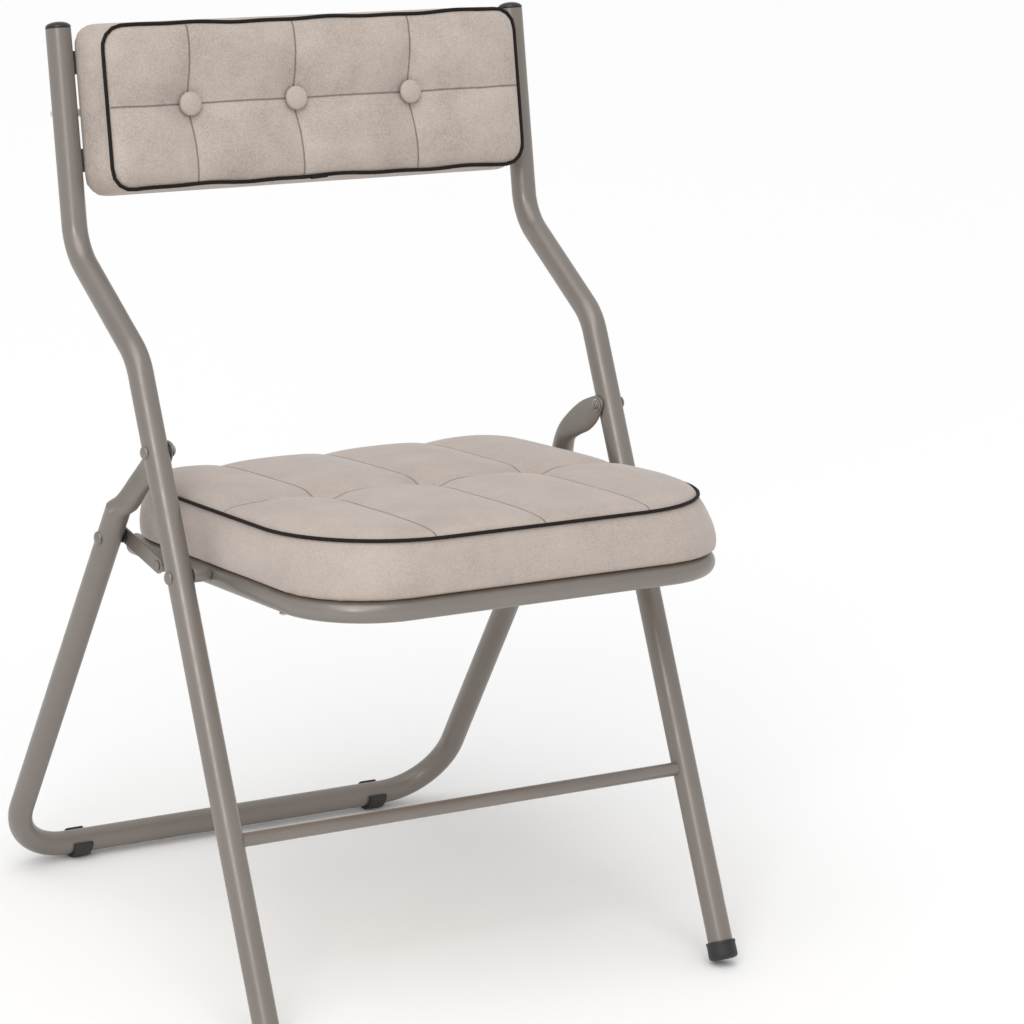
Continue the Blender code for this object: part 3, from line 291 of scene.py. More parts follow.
# ---- node-material helpers ----------------------------------------------------------
class Nodes:
    """A short way to write a node tree."""

    def __init__(self, name, colour, roughness, metallic=0.0):
        self.material = bpy.data.materials.new(name)
        self.material.use_nodes = True
        self.tree = self.material.node_tree
        self.shader = self.tree.nodes["Principled BSDF"]
        self.set("Base Color", (*colour, 1))
        self.set("Roughness", roughness)
        self.set("Metallic", metallic)
        self.place = self.add("ShaderNodeTexCoord").outputs["Object"]

    def set(self, socket, value):
        self.shader.inputs[socket].default_value = value

    def add(self, kind, **settings):
        node = self.tree.nodes.new(kind)
        for key, value in settings.items():
            setattr(node, key, value)
        return node

    def link(self, source, target):
        self.tree.links.new(source, target)

    def feed(self, socket, value):
        if hasattr(value, "is_linked"):
            self.link(value, socket)
        else:
            socket.default_value = value

    def math(self, operation, a, b=0.0, clamp=False):
        node = self.add("ShaderNodeMath", operation=operation, use_clamp=clamp)
        self.feed(node.inputs[0], a)
        self.feed(node.inputs[1], b)
        return node.outputs[0]

    def stretched(self, scale):
        node = self.add("ShaderNodeMapping")
        node.inputs["Scale"].default_value = scale
        self.link(self.place, node.inputs["Vector"])
        return node.outputs["Vector"]

    def noise(self, scale, detail=2.0, roughness=0.5, vector=None):
        node = self.add("ShaderNodeTexNoise")
        node.inputs["Scale"].default_value = scale
        node.inputs["Detail"].default_value = detail
        node.inputs["Roughness"].default_value = roughness
        self.link(vector or self.place, node.inputs["Vector"])
        return node.outputs["Fac"]

    def ramp(self, value, stops):
        node = self.add("ShaderNodeValToRGB")
        elements = node.color_ramp.elements
        while len(elements) < len(stops):
            elements.new(0.5)
        for element, (where, colour) in zip(elements, stops):
            element.position = where
            element.color = (*colour, 1)
        self.link(value, node.inputs["Fac"])
        return node.outputs["Color"]

    def spread(self, value, low, high, start=0.3, end=0.7):
        """value, from start to end, turned into low to high."""
        node = self.add("ShaderNodeMapRange")
        self.link(value, node.inputs["Value"])
        node.inputs["From Min"].default_value = start
        node.inputs["From Max"].default_value = end
        node.inputs["To Min"].default_value = low
        node.inputs["To Max"].default_value = high
        return node.outputs["Result"]

    def mixed_colour(self, share, first, second):
        node = self.add("ShaderNodeMix", data_type="RGBA")
        self.feed(node.inputs["Factor"], share)
        self.link(first, node.inputs[6])
        node.inputs[7].default_value = (*second, 1)
        return node.outputs[2]

    def near(self, value, place, width):
        """1 where value is at place, falling to 0 that far from it."""
        away = self.math("ABSOLUTE", self.math("SUBTRACT", value, place))
        return self.spread(away, 1.0, 0.0, 0.0, width)

    def seam_crease_and_shade(self, face, seams, cross, bow):
        """1 on the seam creases of a cushion's face, 0 away from them; it sinks them by bump and darkens them with
        painted shade.

        face is (half its width, the middle and half of its length, a height below its pits).
        """
        width, wander, edge = 0.0013, 0.0016, 0.001
        axes = self.add("ShaderNodeSeparateXYZ")
        self.link(self.place, axes.inputs[0])
        x, y, z = axes.outputs
        waver = self.math("MULTIPLY", self.math("SUBTRACT", self.noise(30.0), 0.5), wander)
        away = self.math("DIVIDE", self.math("SUBTRACT", y, cross), SEAM_REACH)
        squared = self.math("MULTIPLY", away, away)
        fade = self.math("POWER", 2.71828, self.math("MULTIPLY", squared, -1.0))
        drift = self.math("MULTIPLY", self.math("SUBTRACT", 1.0, fade), bow)
        across = self.math("SUBTRACT", self.math("SUBTRACT", x, drift), waver)
        lines = self.near(self.math("ADD", y, waver), cross, width)
        for seam in seams:
            lines = self.math("MAXIMUM", lines, self.near(across, seam, width))
        half_width, centre, half_length, floor = face
        along_x = self.math("ABSOLUTE", x)
        inside_x = self.spread(along_x, 1.0, 0.0, half_width - edge, half_width)
        along_y = self.math("ABSOLUTE", self.math("SUBTRACT", y, centre))
        inside_y = self.spread(along_y, 1.0, 0.0, half_length - edge, half_length)
        inside = self.math("MULTIPLY", inside_x, inside_y)
        above = self.math("GREATER_THAN", z, floor)
        return self.math("MULTIPLY", lines, self.math("MULTIPLY", inside, above))

    def bump(self, height, distance, strength=1.0, normal=None):
        node = self.add("ShaderNodeBump")
        node.inputs["Distance"].default_value = distance
        node.inputs["Strength"].default_value = strength
        self.link(height, node.inputs["Height"])
        if normal:
            self.link(normal, node.inputs["Normal"])
        self.link(node.outputs["Normal"], self.shader.inputs["Normal"])
        return node.outputs["Normal"]

    def colour(self, value):
        self.link(value, self.shader.inputs["Base Color"])

    def rough(self, value):
        self.link(value, self.shader.inputs["Roughness"])


def tint(colour, share):
    return tuple(channel * share for channel in colour)


# ---- materials ----------------------------------------------------------------------
PAINT = (0.215, 0.190, 0.170)
FABRIC = (0.440, 0.378, 0.335)


def painted_steel():
    m = Nodes("steel_paint", PAINT, 0.36, 0.35)
    cloud = m.noise(9.0, 3.0)
    m.colour(m.ramp(cloud, [(0.3, tint(PAINT, 0.94)), (0.7, tint(PAINT, 1.06))]))
    m.rough(m.spread(m.noise(60.0, 3.0), 0.31, 0.42))
    peel = m.noise(650.0, 2.0)
    m.bump(peel, 0.00012, 0.35)
    m.set("Coat Weight", 0.12)
    m.set("Coat Roughness", 0.22)
    return m.material


def bright_steel():
    m = Nodes("bright_steel", (0.55, 0.54, 0.52), 0.3, 0.95)
    grain = m.noise(900.0, 3.0, 0.6)
    m.rough(m.spread(grain, 0.24, 0.40))
    m.bump(grain, 0.00005, 0.3)
    return m.material


def dark_moulding(name, colour, rough_low, rough_high, grain_scale, depth):
    m = Nodes(name, colour, rough_low)
    grain = m.noise(grain_scale, 4.0, 0.6)
    cloud = m.noise(60.0, 4.0)
    m.colour(m.ramp(cloud, [(0.3, tint(colour, 0.8)), (0.72, tint(colour, 1.5))]))
    m.rough(m.spread(grain, rough_low, rough_high))
    m.bump(grain, depth, 0.5)
    return m.material


def grey_moulding():
    colour = (0.56, 0.56, 0.555)
    m = Nodes("grey_plastic", colour, 0.45)
    cloud = m.noise(14.0, 3.0)
    m.colour(m.ramp(cloud, [(0.3, tint(colour, 0.96)), (0.7, tint(colour, 1.03))]))
    grain = m.noise(1500.0, 2.0)
    m.rough(m.spread(grain, 0.40, 0.52))
    m.bump(grain, 0.00006, 0.4)
    return m.material


def plywood():
    m = Nodes("plywood", (0.5, 0.36, 0.22), 0.7)
    rings = m.noise(8.0, 5.0, 0.6, m.stretched((2.0, 14.0, 14.0)))
    m.colour(m.ramp(rings, [(0.3, (0.42, 0.28, 0.16)), (0.7, (0.60, 0.44, 0.28))]))
    m.bump(rings, 0.0002, 0.4)
    return m.material


def upholstery(name, colour, face=None, seams=(), cross=0.0, bow=0.0, contrast=1.0):
    """Brushed woven cloth: threads both ways with slubs, a soft pile and slow shading changes.

    On the part given by face, seam creases run along the given seams and across them, sunk by bump and darkened
    with painted shade.
    """
    m = Nodes(name, colour, 0.85)
    warp = m.noise(1.0, 2.0, 0.6, m.stretched((1500.0, 260.0, 700.0)))
    weft = m.noise(1.0, 2.0, 0.6, m.stretched((260.0, 1500.0, 700.0)))
    pile = m.noise(820.0, 4.0, 0.75)
    threads = m.math("ADD", m.math("MULTIPLY", warp, 0.5), m.math("MULTIPLY", weft, 0.5))
    mixed = m.math("ADD", m.math("MULTIPLY", threads, 0.5), m.math("MULTIPLY", pile, 0.5))
    brushed = m.noise(22.0, 4.0, 0.6)
    shade = m.math("ADD", m.math("MULTIPLY", mixed, 0.75), m.math("MULTIPLY", brushed, 0.25))
    low, high = 1 - 0.24 * contrast, 1 + 0.20 * contrast
    stops = [(0.38, tint(colour, low)), (0.5, colour), (0.62, tint(colour, high))]
    cloth = m.ramp(shade, stops)
    height = mixed
    if face is not None:
        line = m.seam_crease_and_shade(face, seams, cross, bow)
        # painted shade: the seam creases get a dark tint of the cloth's own colour
        cloth = m.mixed_colour(m.math("MULTIPLY", line, 0.8), cloth, tint(colour, 0.18))
        height = m.math("SUBTRACT", mixed, m.math("MULTIPLY", line, 2.2))
    m.colour(cloth)
    m.rough(m.spread(pile, 0.78, 0.95))
    m.bump(height, 0.0005, 0.5)
    m.set("Sheen Weight", 0.25)
    m.set("Sheen Roughness", 0.45)
    m.set("Specular IOR Level", 0.2)
    return m.material


def cord_cloth():
    colour = (0.010, 0.008, 0.007)
    m = Nodes("piping", colour, 0.7)
    ribs = m.noise(1300.0, 2.0, 0.6)
    m.colour(m.ramp(ribs, [(0.35, tint(colour, 0.7)), (0.65, tint(colour, 2.0))]))
    m.bump(ribs, 0.0004, 0.6)
    m.set("Specular IOR Level", 0.15)
    return m.material


STEEL = painted_steel()
BRIGHT = bright_steel()
BLACK = dark_moulding("black_plastic", (0.014, 0.014, 0.014), 0.28, 0.4, 700.0, 0.0001)
RUBBER = dark_moulding("rubber", (0.016, 0.016, 0.0165), 0.45, 0.62, 900.0, 0.0002)
GREY = grey_moulding()
WOOD = plywood()
CLOTH = upholstery("fabric", FABRIC)
BUTTON_CLOTH = upholstery("button_fabric", tint(FABRIC, 1.04), contrast=0.7)
# half of a stitched face's width, the middle and half of its length, a height below its pits
SEAT_FACE = (0.1995, (SEAT_REAR - SEAT_FRONT) / 2, 0.1835, SEAT_TOP - 0.012)
BACK_FACE = (0.2065, CUSHION_MID, 0.0680, CUSHION_FRONT - 0.010)
SEAT_CLOTH = upholstery(
    "seat_fabric", FABRIC, SEAT_FACE, SEAT_SEAMS, SEAT_CROSS_SEAM, contrast=0.8
)
BACK_CLOTH = upholstery(
    "back_fabric", FABRIC, BACK_FACE, BUTTON_PLACES, CUSHION_MID, BACK_BOW, contrast=1.3
)
CORD = cord_cloth()
SLOT_FINISH = {
    "steel_paint": STEEL, "bright_steel": BRIGHT, "black_plastic": BLACK, "rubber": RUBBER,
    "grey_plastic": GREY, "plywood": WOOD, "fabric": CLOTH, "piping": CORD,
}


def finish_cad_nodes():
    """Gives the CAD nodes their slots' materials. The four that aren't replaced show them."""
    for entry in frame["record"]["subparts"]:
        node = frame["nodes"][entry["node"]]
        finish = SLOT_FINISH[entry["material_slot"]]
        for slot in node.material_slots:
            slot.material = finish
        for polygon in node.data.polygons:
            polygon.use_smooth = True


# ---- steel frame --------------------------------------------------------------------
SIDES = (("left", -1), ("right", 1))


def side_tubes():
    for side, sign in SIDES:
        shift = Vector((sign * HALF, 0, 0))
        corners = [FOOT + shift, LOW_BEND + shift, HIGH_BEND + shift, TUBE_TOP + shift]
        bm = sweep(filleted(corners, BEND_R), (1, 0, 0), TUBE_R)
        node = side + "_side_tube"
        add_piece(side + "_tube", bm, "front_frame", STEEL, [node])


FIN_STATIONS = [
    # down from pivot 1; rear and front edges as shares of the round leg's; roundness
    (-0.0068, 0.08, -0.17, 0.0),
    (-0.0055, 0.18, -0.31, 0.0),
    (-0.0020, 0.27, -0.43, 0.0),
    (0.0100, 0.53, -0.52, 0.0),
    (0.0200, 0.69, -0.38, 0.0),
    (0.0300, 0.81, -0.07, 0.04),
    (0.0400, 0.90, 0.41, 0.14),
    (0.0500, 0.96, 0.81, 0.37),
    (0.0620, 0.99, 0.97, 0.68),
    (0.0860, 1.00, 1.00, 1.00),
]


def eased(p, q, r, s, t):
    """The smooth curve from q to r at t, with p before it and s after it."""
    bend = 2 * p - 5 * q + 4 * r - s + t * (3 * (q - r) + s - p)
    return q + 0.5 * t * (r - p + t * bend)


def between(stations, steps=4):
    """The stations with smooth ones in between."""
    found = []
    last = len(stations) - 1
    for i in range(last):
        a, b = stations[i], stations[i + 1]
        before, after = stations[max(i - 1, 0)], stations[min(i + 2, last)]
        for k in range(steps):
            share = k / steps
            found.append(tuple(eased(*four, share) for four in zip(before, a, b, after)))
    return found + [stations[last]]


def rear_frame_tube():
    """The rear leg bent round under the seat, its two ends pressed into fins."""
    reach = hypot(BAR.y - PIVOT_1.y, PIVOT_1.z - BAR_HEIGHT)
    lean = atan2(BAR.y - PIVOT_1.y, PIVOT_1.z - BAR_HEIGHT) - asin(LEG_BEHIND / reach)
    length = sqrt(reach ** 2 - LEG_BEHIND ** 2)
    sides = 36

    def fin(sign, station):
        down, rear_share, front_share, roundness = station
        roundness = min(max(roundness, 0.0), 1.0)
        rear = rear_share * (LEG_BEHIND + TUBE_R)
        front = front_share * (LEG_BEHIND - TUBE_R)
        thick = FIN_T + roundness * (2 * TUBE_R - FIN_T)
        squash = 0.55 + 0.45 * roundness
        inboard = (TUBE_R + GAP + thick / 2) * (1 - roundness) ** 0.45
        ring = []
        for i in range(sides):
            turn = 2 * pi * i / sides
            wide = abs(cos(turn)) ** squash * (1 if cos(turn) > 0 else -1)
            x = sign * (HALF - inboard) + thick / 2 * wide
            y = (rear + front) / 2 + (rear - front) / 2 * sin(turn)
            ring.append(Vector((x, y, -down)))
        return ring

    start = -FIN_STATIONS[-1][0] - 0.012
    corners = [(-HALF, LEG_BEHIND, start), (-HALF, LEG_BEHIND, -length)]
    corners += [(HALF, LEG_BEHIND, -length), (HALF, LEG_BEHIND, start)]
    path = frames(filleted(corners, REAR_CORNER_R, steps=20), (1, 0, 0))
    stations = between(FIN_STATIONS)
    rings = [fin(-1, station) for station in stations]
    rings += [circle(here, TUBE_R, sides) for here in path]
    rings += [fin(1, station) for station in stations[::-1]]
    for i in range(1, len(rings)):
        rings[i] = nearest_order(rings[i - 1], rings[i])
    bm = skin_rings(rings)
    bm.transform(at(0, PIVOT_1.y, PIVOT_1.z) @ Matrix.Rotation(lean, 4, "X"))
    add_piece("rear_leg_tube", bm, "rear_frame", STEEL, ["rear_leg_frame"], 50)


def nearest_order(reference, ring):
    """The ring's points, started and turned so that they follow the reference ring."""
    count = len(ring)
    orders = []
    for direction in (1, -1):
        for start in range(count):
            order = [ring[(start + direction * i) % count] for i in range(count)]
            apart = sum((a - b).length for a, b in zip(reference, order))
            orders.append((apart, len(orders), order))
    return min(orders)[2]


def rear_feet():
    """Saddles clipped round the floor bar: a round lobe in front, a thin lip behind."""
    inner = TUBE_R + GAP
    start, swing, steps = radians(-190), radians(245), 48
    turns = [start + swing * i / steps for i in range(steps + 1)]
    # share of the width from the middle, how much the edge is broken there
    sections = ((-0.5, 0.0009), (-0.46, 0.0002), (-0.42, 0.0))
    sections += ((0.42, 0.0), (0.46, 0.0002), (0.5, 0.0009))
    for side, _ in SIDES:
        node = side + "_rear_foot"
        here = middle(node)
        width = size(node).x
        rings = []
        for share, trim in sections:
            outer = []
            for turn in turns:
                lobe = 0.0009 * exp(-((degrees(turn) + 178) / 12) ** 2)
                thin = 0.0012 * max(0.0, (degrees(turn) - 5) / 50)
                outer.append(inner + SADDLE_T - trim + lobe - thin)
            bore = inner + trim / 2
            loop = [(r * cos(t), r * sin(t)) for r, t in zip(outer, turns)]
            loop += [(bore * cos(t), bore * sin(t)) for t in turns[::-1]]
            x = here.x + share * width
            rings.append([(x, BAR_Y + y, BAR_HEIGHT + z) for y, z in loop])
        bm = skin_rings(rings)
        on_floor(bm)
        add_piece(side + "_floor_saddle", bm, "rear_frame", RUBBER, [node])


def on_floor(bm):
    """Flattens what would reach under the floor."""
    for vert in bm.verts:
        vert.co.z = max(vert.co.z, 0.0)


def front_boots():
    """Rubber cups with a rolled top rim, worn flat where they meet the floor."""
    bore = TUBE_R + GAP
    outer = bore + BOOT_T
    profile = [
        (-0.0003, bore - 0.001), (-0.0003, bore), (0.0124, bore),
        (0.0130, bore + 0.0003), (0.0131, bore + 0.0009),
        (0.0129, outer - 0.0003), (0.0122, outer), (0.0108, outer),
        (0.0101, outer - 0.0003), (0.0090, outer - 0.0004), (0.0020, outer - 0.0002),
        (-0.0008, outer - 0.0003), (-0.0022, outer - 0.0012), (-0.0031, outer - 0.0030),
        (-0.0035, outer - 0.0055),
    ]
    for side, sign in SIDES:
        place = at(sign * HALF, FOOT.y, FOOT.z) @ Matrix.Rotation(-LEG_LEAN, 4, "X")
        bm = placed(turned(profile, 64), place)
        on_floor(bm)
        node = side + "_front_boot"
        add_piece(side + "_boot", bm, "front_frame", RUBBER, [node])


def top_plugs():
    """Black domed caps with a stem inside the tube."""
    rim, stem = TUBE_R, TUBE_R - 0.0016
    profile = [
        (-0.0119, rim - 0.0028), (-0.0110, stem), (0.0003, stem),
        (0.0003, rim - 0.0004), (0.0005, rim - 0.0001), (0.0012, rim),
    ]
    profile += dome(0.0012, 0.0046, rim, 0.12, 1.54, 12)
    for side, sign in SIDES:
        place = at(sign * HALF, 0, 0) @ BACK_FRAME @ at(0, 0, BACK_LENGTH)
        bm = placed(turned(profile, 48), place)
        node = side + "_top_plug"
        add_piece(side + "_tube_cap", bm, "front_frame", BLACK, [node])


def rivets():
    """Domed heads outside, upset tails inside, and the shanks between."""
    shank_r, tail_r = 0.003, 0.0045
    # kind, body or None for the side's own link, height of the head, height of the tail
    kinds = (
        ("rear_leg_rivet", "front_frame", 0.0034, 0.0020),
        ("seat_rivet", "front_frame", 0.0034, 0.0020),
        ("link_rivet", "rear_frame", 0.0034, 0.0020),
        ("link_front_rivet", None, 0.0015, 0.0),
    )
    for side, sign in SIDES:
        for kind, body, rise, tail in kinds:
            node = side + "_" + kind
            reach, rim = size(node).x, size(node).z / 2
            start, under = -reach / 2, reach / 2 - rise
            profile = []
            if tail:
                turns = steps_between(1.5, 0.2, 6)
                profile = [(start + tail * (1 - sin(t)), tail_r * cos(t)) for t in turns]
                profile += [(start + tail, tail_r)]
            profile += [(start + tail, shank_r), (under, shank_r)]
            profile += [(under, rim - 0.0003), (under + 0.0003, rim)]
            profile += dome(under + 0.0004, rise - 0.0004, rim, 0.15, 1.5, 9)
            place = at(*middle(node)) @ flip_x(sign) @ FACING_OUT
            bm = placed(turned(profile, 32), place)
            body = body or side + "_link_arm"
            add_piece(node + "_head", bm, body, STEEL, [node])


def rings_round_rivets():
    """The spacers, washers, bushes and bosses: turned rings with broken edges."""
    # kind, body, material and its slot, radius of the bore
    kinds = (
        ("seat_bush", "seat", STEEL, "steel_paint", 0.0033),
        ("link_boss", "seat", STEEL, "steel_paint", 0.0005),
        ("link_spacer", "rear_frame", BLACK, "black_plastic", 0.0033),
        ("pivot_washer", "rear_frame", BRIGHT, "bright_steel", 0.0033),
    )
    for side, sign in SIDES:
        for kind, body, finish, slot, bore in kinds:
            node = side + "_" + kind
            here = middle(node)
            reach, rim = size(node).x / 2, size(node).y / 2
            edge = min(0.0005, reach / 3)
            nick = 0.3 * edge
            profile = [
                (-reach, bore), (-reach, rim - edge), (-reach + nick, rim - nick),
                (-reach + edge, rim), (reach - edge, rim),
                (reach - nick, rim - nick), (reach, rim - edge), (reach, bore),
            ]
            place = at(*here) @ flip_x(sign) @ FACING_OUT
            bm = placed(turned(profile, 32, True), place)
            add_piece(node + "_ring", bm, body, finish, [node])


def links():
    """Flat stamped bars with round ends and broken edges."""
    edge = 0.0004
    inner = 1 - 2 * edge / LINK_T
    # share of half the thickness from the middle, how much the edge is broken there
    sections = ((-1, edge), (-inner, 0.0), (inner, 0.0), (1, edge))
    for side, _ in SIDES:
        node = side + "_link"
        rear = JOINT_AT[side + "_link_fold"]
        front = middle(side + "_link_front_rivet")
        here = middle(node)
        length = hypot(rear.y - front.y, rear.z - front.z)
        angle = atan2(rear.z - front.z, rear.y - front.y)
        place = at(here.x, rear.y, rear.z) @ Matrix.Rotation(angle, 4, "X")
        rings = []
        for x, trim in sections:
            half = LINK_W / 2 - trim
            turns = steps_between(-pi / 2, pi / 2, 17)
            loop = [(half * cos(t), half * sin(t)) for t in turns]
            loop += [(-length - half * cos(t), -half * sin(t)) for t in turns]
            rings.append([(x * LINK_T / 2, y, z) for y, z in loop])
        bm = placed(skin_rings(rings), place)
        add_piece(side + "_link_bar", bm, side + "_link_arm", STEEL, [node])


def straight_rod(node, short, radius, side):
    """A round bar across the chair where the node is, that much shorter at each end."""
    here, reach = middle(node), size(node).x / 2 - short
    return sweep([here + Vector((x, 0, 0)) for x in (-reach, reach)], side, radius)


def cross_rod():
    node = "front_cross_rod"
    bm = straight_rod(node, 0.0001, size(node).z / 2, (0, 1, 0))
    add_piece("cross_rod", bm, "front_frame", STEEL, [node])


def handle():
    """A bent rod whose ends meet the side tubes behind the backrest."""
    back, start, bend_r = HANDLE_BEHIND, TUBE_R + 0.0005, 0.010
    corners = [(-HALF, start, 0), (-HALF, back, 0), (HALF, back, 0), (HALF, start, 0)]
    bm = sweep(filleted(corners, bend_r, steps=10), (0, 0, 1), HANDLE_R, 24)
    bm = placed(bm, BACK_FRAME @ at(0, 0, CUSHION_MID))
    add_piece("bent_handle", bm, "front_frame", GREY, ["carry_handle"])


# ---- seat frame ---------------------------------------------------------------------
def seat_half_width(y):
    """Half the cushion's width at y, measured back from pivot 2."""
    return SEAT_HALF - SEAT_TAPER / 2 * (y + SEAT_FRONT) / (SEAT_FRONT + SEAT_REAR)


def seat_tube():
    """The U-shaped seat tube, the caps in its rear ends and the bar between its arms."""
    inset = SEAT_TUBE_INSET + SEAT_TUBE_R
    front, rear = -SEAT_FRONT + inset, SEAT_REAR - SEAT_TUBE_SHORT
    wide, narrow = seat_half_width(front) - inset, seat_half_width(rear) - inset
    z = -SEAT_TUBE_DROP
    corners = [(-narrow, rear, z), (-wide, front, z), (wide, front, z), (narrow, rear, z)]
    path = filleted(corners, SEAT_FRONT_R - inset, steps=20)
    bm = placed(sweep(path, (0, 0, 1), SEAT_TUBE_R), SEAT_FRAME)
    add_piece("seat_tube", bm, "seat", STEEL, ["seat_frame_tube"])
    taper = atan2(SEAT_TAPER / 2, SEAT_FRONT + SEAT_REAR)
    rim, stem = SEAT_TUBE_R, SEAT_TUBE_R - 0.002
    profile = [(-0.009, stem), (0.0003, stem), (0.0003, rim - 0.0003), (0.0008, rim)]
    for turn in steps_between(0.1, 1.5, 8):
        profile.append((0.0010 + 0.0024 * sin(turn), rim * (0.3 + 0.7 * cos(turn))))
    profile.append((0.0034, 0.002))
    for side, sign in SIDES:
        turned_in = Matrix.Rotation(sign * taper, 4, "Z")
        place = SEAT_FRAME @ at(sign * narrow, rear, z) @ turned_in @ FACING_BACK
        bm = placed(turned(profile, 40), place)
        node = side + "_seat_end_plug"
        add_piece(side + "_seat_tube_cap", bm, "seat", BLACK, [node])
    node = "seat_rear_bar"
    bm = straight_rod(node, 0.0, size(node).z / 2 - 0.00005, (0, 0, 1))
    add_piece("rear_seat_bar", bm, "seat", STEEL, [node])


# ---- panel and screws ---------------------------------------------------------------
def back_outline(half, low, high, radius, steps=8):
    """A rounded rectangle of (x, z) points in the backrest's frame, starting at lower right."""
    found = []
    centres = ((1, -1, -90), (1, 1, 0), (-1, 1, 90), (-1, -1, 180))
    for right, up, start in centres:
        x = right * (half - radius)
        z = high - radius if up > 0 else low + radius
        for i in range(steps + 1):
            turn = radians(start + 90 * i / steps)
            found.append((x + radius * cos(turn), z + radius * sin(turn)))
    return found


def panel_ring(inset, y):
    """The cover's outline, that much further in, at y behind the tubes' axes."""
    inset += PANEL_INSET
    low, high = CUSHION_LOW + inset, CUSHION_HIGH - inset
    outline = back_outline(CUSHION_HALF - inset, low, high, max(CUSHION_R - inset, 0.004))
    return [(x, y, z) for x, z in outline]


def cover_panel():
    """The moulded cover behind the backrest: a rolled edge, a step, then a slight crown."""
    # (inset, y) up the outside, then up the inside
    outside = [
        (0.0000, -0.0001), (0.0000, 0.0080), (0.0006, 0.0112), (0.0020, 0.0136),
        (0.0042, 0.0149), (0.0065, 0.0152), (0.0078, 0.0149), (0.0086, 0.0143),
        (0.0100, 0.0142), (0.0110, 0.0147), (0.0125, 0.0152), (0.0180, 0.0158),
        (0.0300, 0.0165), (0.0450, 0.0171), (0.0600, 0.0174),
    ]
    inside = [
        (0.0020, -0.0001), (0.0020, 0.0070), (0.0040, 0.0100), (0.0100, 0.0122),
        (0.0600, 0.0154),
    ]
    rings = [panel_ring(inset, y) for inset, y in outside[::-1] + inside]
    bm = placed(skin_rings(rings), BACK_FRAME)
    add_piece("cover_panel", bm, "front_frame", GREY, ["back_panel"], 50)


def screw_mesh(head, rise, shank, reach):
    """A pan-head screw along +Z, its head's underside at 0, with a cross recess."""
    profile = [(-reach, shank * 0.4), (-reach + shank, shank), (0, shank)]
    profile += [(0, head - 0.0002), (0.0003, head)]
    profile += dome(0.0004, rise - 0.0004, head, 0.2, 1.52, 8)
    bm = turned(profile, 32)
    # the two arms of the cross, as shares of the head's radius
    for long, wide in ((0.55, 0.14), (0.14, 0.55)):
        cutter = bmesh.new()
        bmesh.ops.create_cube(cutter, size=1.0)
        sides = Matrix.Diagonal((2 * long * head, 2 * wide * head, rise, 1))
        cutter.transform(at(0, 0, rise) @ sides)
        bm = subtracted(bm, cutter)
    return bm


def subtracted(bm, cutter):
    """bm with the cutter's shape taken out."""
    blank, tool = [linked("blank", mesh_of("blank", content)) for content in (bm, cutter)]
    boolean = blank.modifiers.new("recess", "BOOLEAN")
    boolean.operation = "DIFFERENCE"
    boolean.solver = "EXACT"
    boolean.object = tool
    made = bmesh.new()
    made.from_object(blank, bpy.context.evaluated_depsgraph_get())
    for obj in (blank, tool):
        bpy.data.objects.remove(obj, do_unlink=True)
    return made


def screws():
    """Four screws in the rear cover and four up into the seat board."""
    on_cover = 0.0173
    under_tube = -SEAT_TUBE_DROP - SEAT_TUBE_R - GAP
    facing_down = Matrix.Rotation(pi, 4, "X")

    def screw(node, bm, place, body):
        bm = placed(bm, place)
        add_piece(node + "_head", bm, body, BRIGHT, [node], 30)

    for corner in ("lower_left", "lower_right", "upper_left", "upper_right"):
        node = corner + "_panel_screw"
        local = BACK_FRAME.inverted() @ middle(node)
        place = BACK_FRAME @ at(local.x, on_cover, local.z) @ FACING_BACK
        screw(node, screw_mesh(0.0040, 0.0023, 0.0020, 0.020), place, "front_frame")
    for corner in ("front_left", "front_right", "rear_left", "rear_right"):
        node = corner + "_seat_screw"
        local = SEAT_FRAME.inverted() @ middle(node)
        place = SEAT_FRAME @ at(local.x, local.y, under_tube) @ facing_down
        screw(node, screw_mesh(0.0038, 0.0022, 0.0020, 0.024), place, "seat")


# ---- padding ------------------------------------------------------------------------
def applied(piece):
    """Works the piece's modifiers into its mesh."""
    graph = bpy.context.evaluated_depsgraph_get()
    made = bpy.data.meshes.new_from_object(piece.evaluated_get(graph))
    piece.modifiers.clear()
    old, piece.data = piece.data, made
    bpy.data.meshes.remove(old)


def padding(name, rings, voxel):
    """A closed solid through the rings, remeshed into even quads."""
    piece = linked(name, mesh_of(name, skin_rings(rings)))
    remesh = piece.modifiers.new("even", "REMESH")
    remesh.mode = "VOXEL"
    remesh.voxel_size = voxel
    applied(piece)
    return piece


def inflated(piece, hold, most):
    """Blows the cover up by cloth simulation against the points that it is sewn at.

    hold gives how firmly a point is sewn, 0 to 1. No point ends up over most from its start.
    """
    start = [vert.co.copy() for vert in piece.data.vertices]
    sewn = piece.vertex_groups.new(name="sewn")
    for vert in piece.data.vertices:
        weight = hold(vert.co)
        if weight > 0.01:
            sewn.add([vert.index], weight, "REPLACE")
    cloth = piece.modifiers.new("cover", "CLOTH")
    settings = cloth.settings
    settings.quality = 6
    settings.mass = 0.25
    settings.tension_stiffness = 18
    settings.compression_stiffness = 12
    settings.shear_stiffness = 6
    settings.bending_stiffness = 0.6
    settings.use_pressure = True
    settings.uniform_pressure_force = CLOTH_PRESSURE
    settings.effector_weights.gravity = 0
    settings.vertex_group_mass = "sewn"
    settings.pin_stiffness = 1.0
    cloth.collision_settings.use_collision = False
    cloth.collision_settings.use_self_collision = False
    scene = bpy.context.scene
    for number in range(1, CLOTH_FRAMES + 1):
        scene.frame_set(number)
    applied(piece)
    scene.frame_set(1)
    for vert, before in zip(piece.data.vertices, start):
        move = vert.co - before
        if move.length > most:
            vert.co = before + move * (most / move.length)
    piece.vertex_groups.clear()


def refined(piece, levels=1):
    subdivision = piece.modifiers.new("finer", "SUBSURF")
    subdivision.levels = levels
    subdivision.render_levels = levels
    applied(piece)


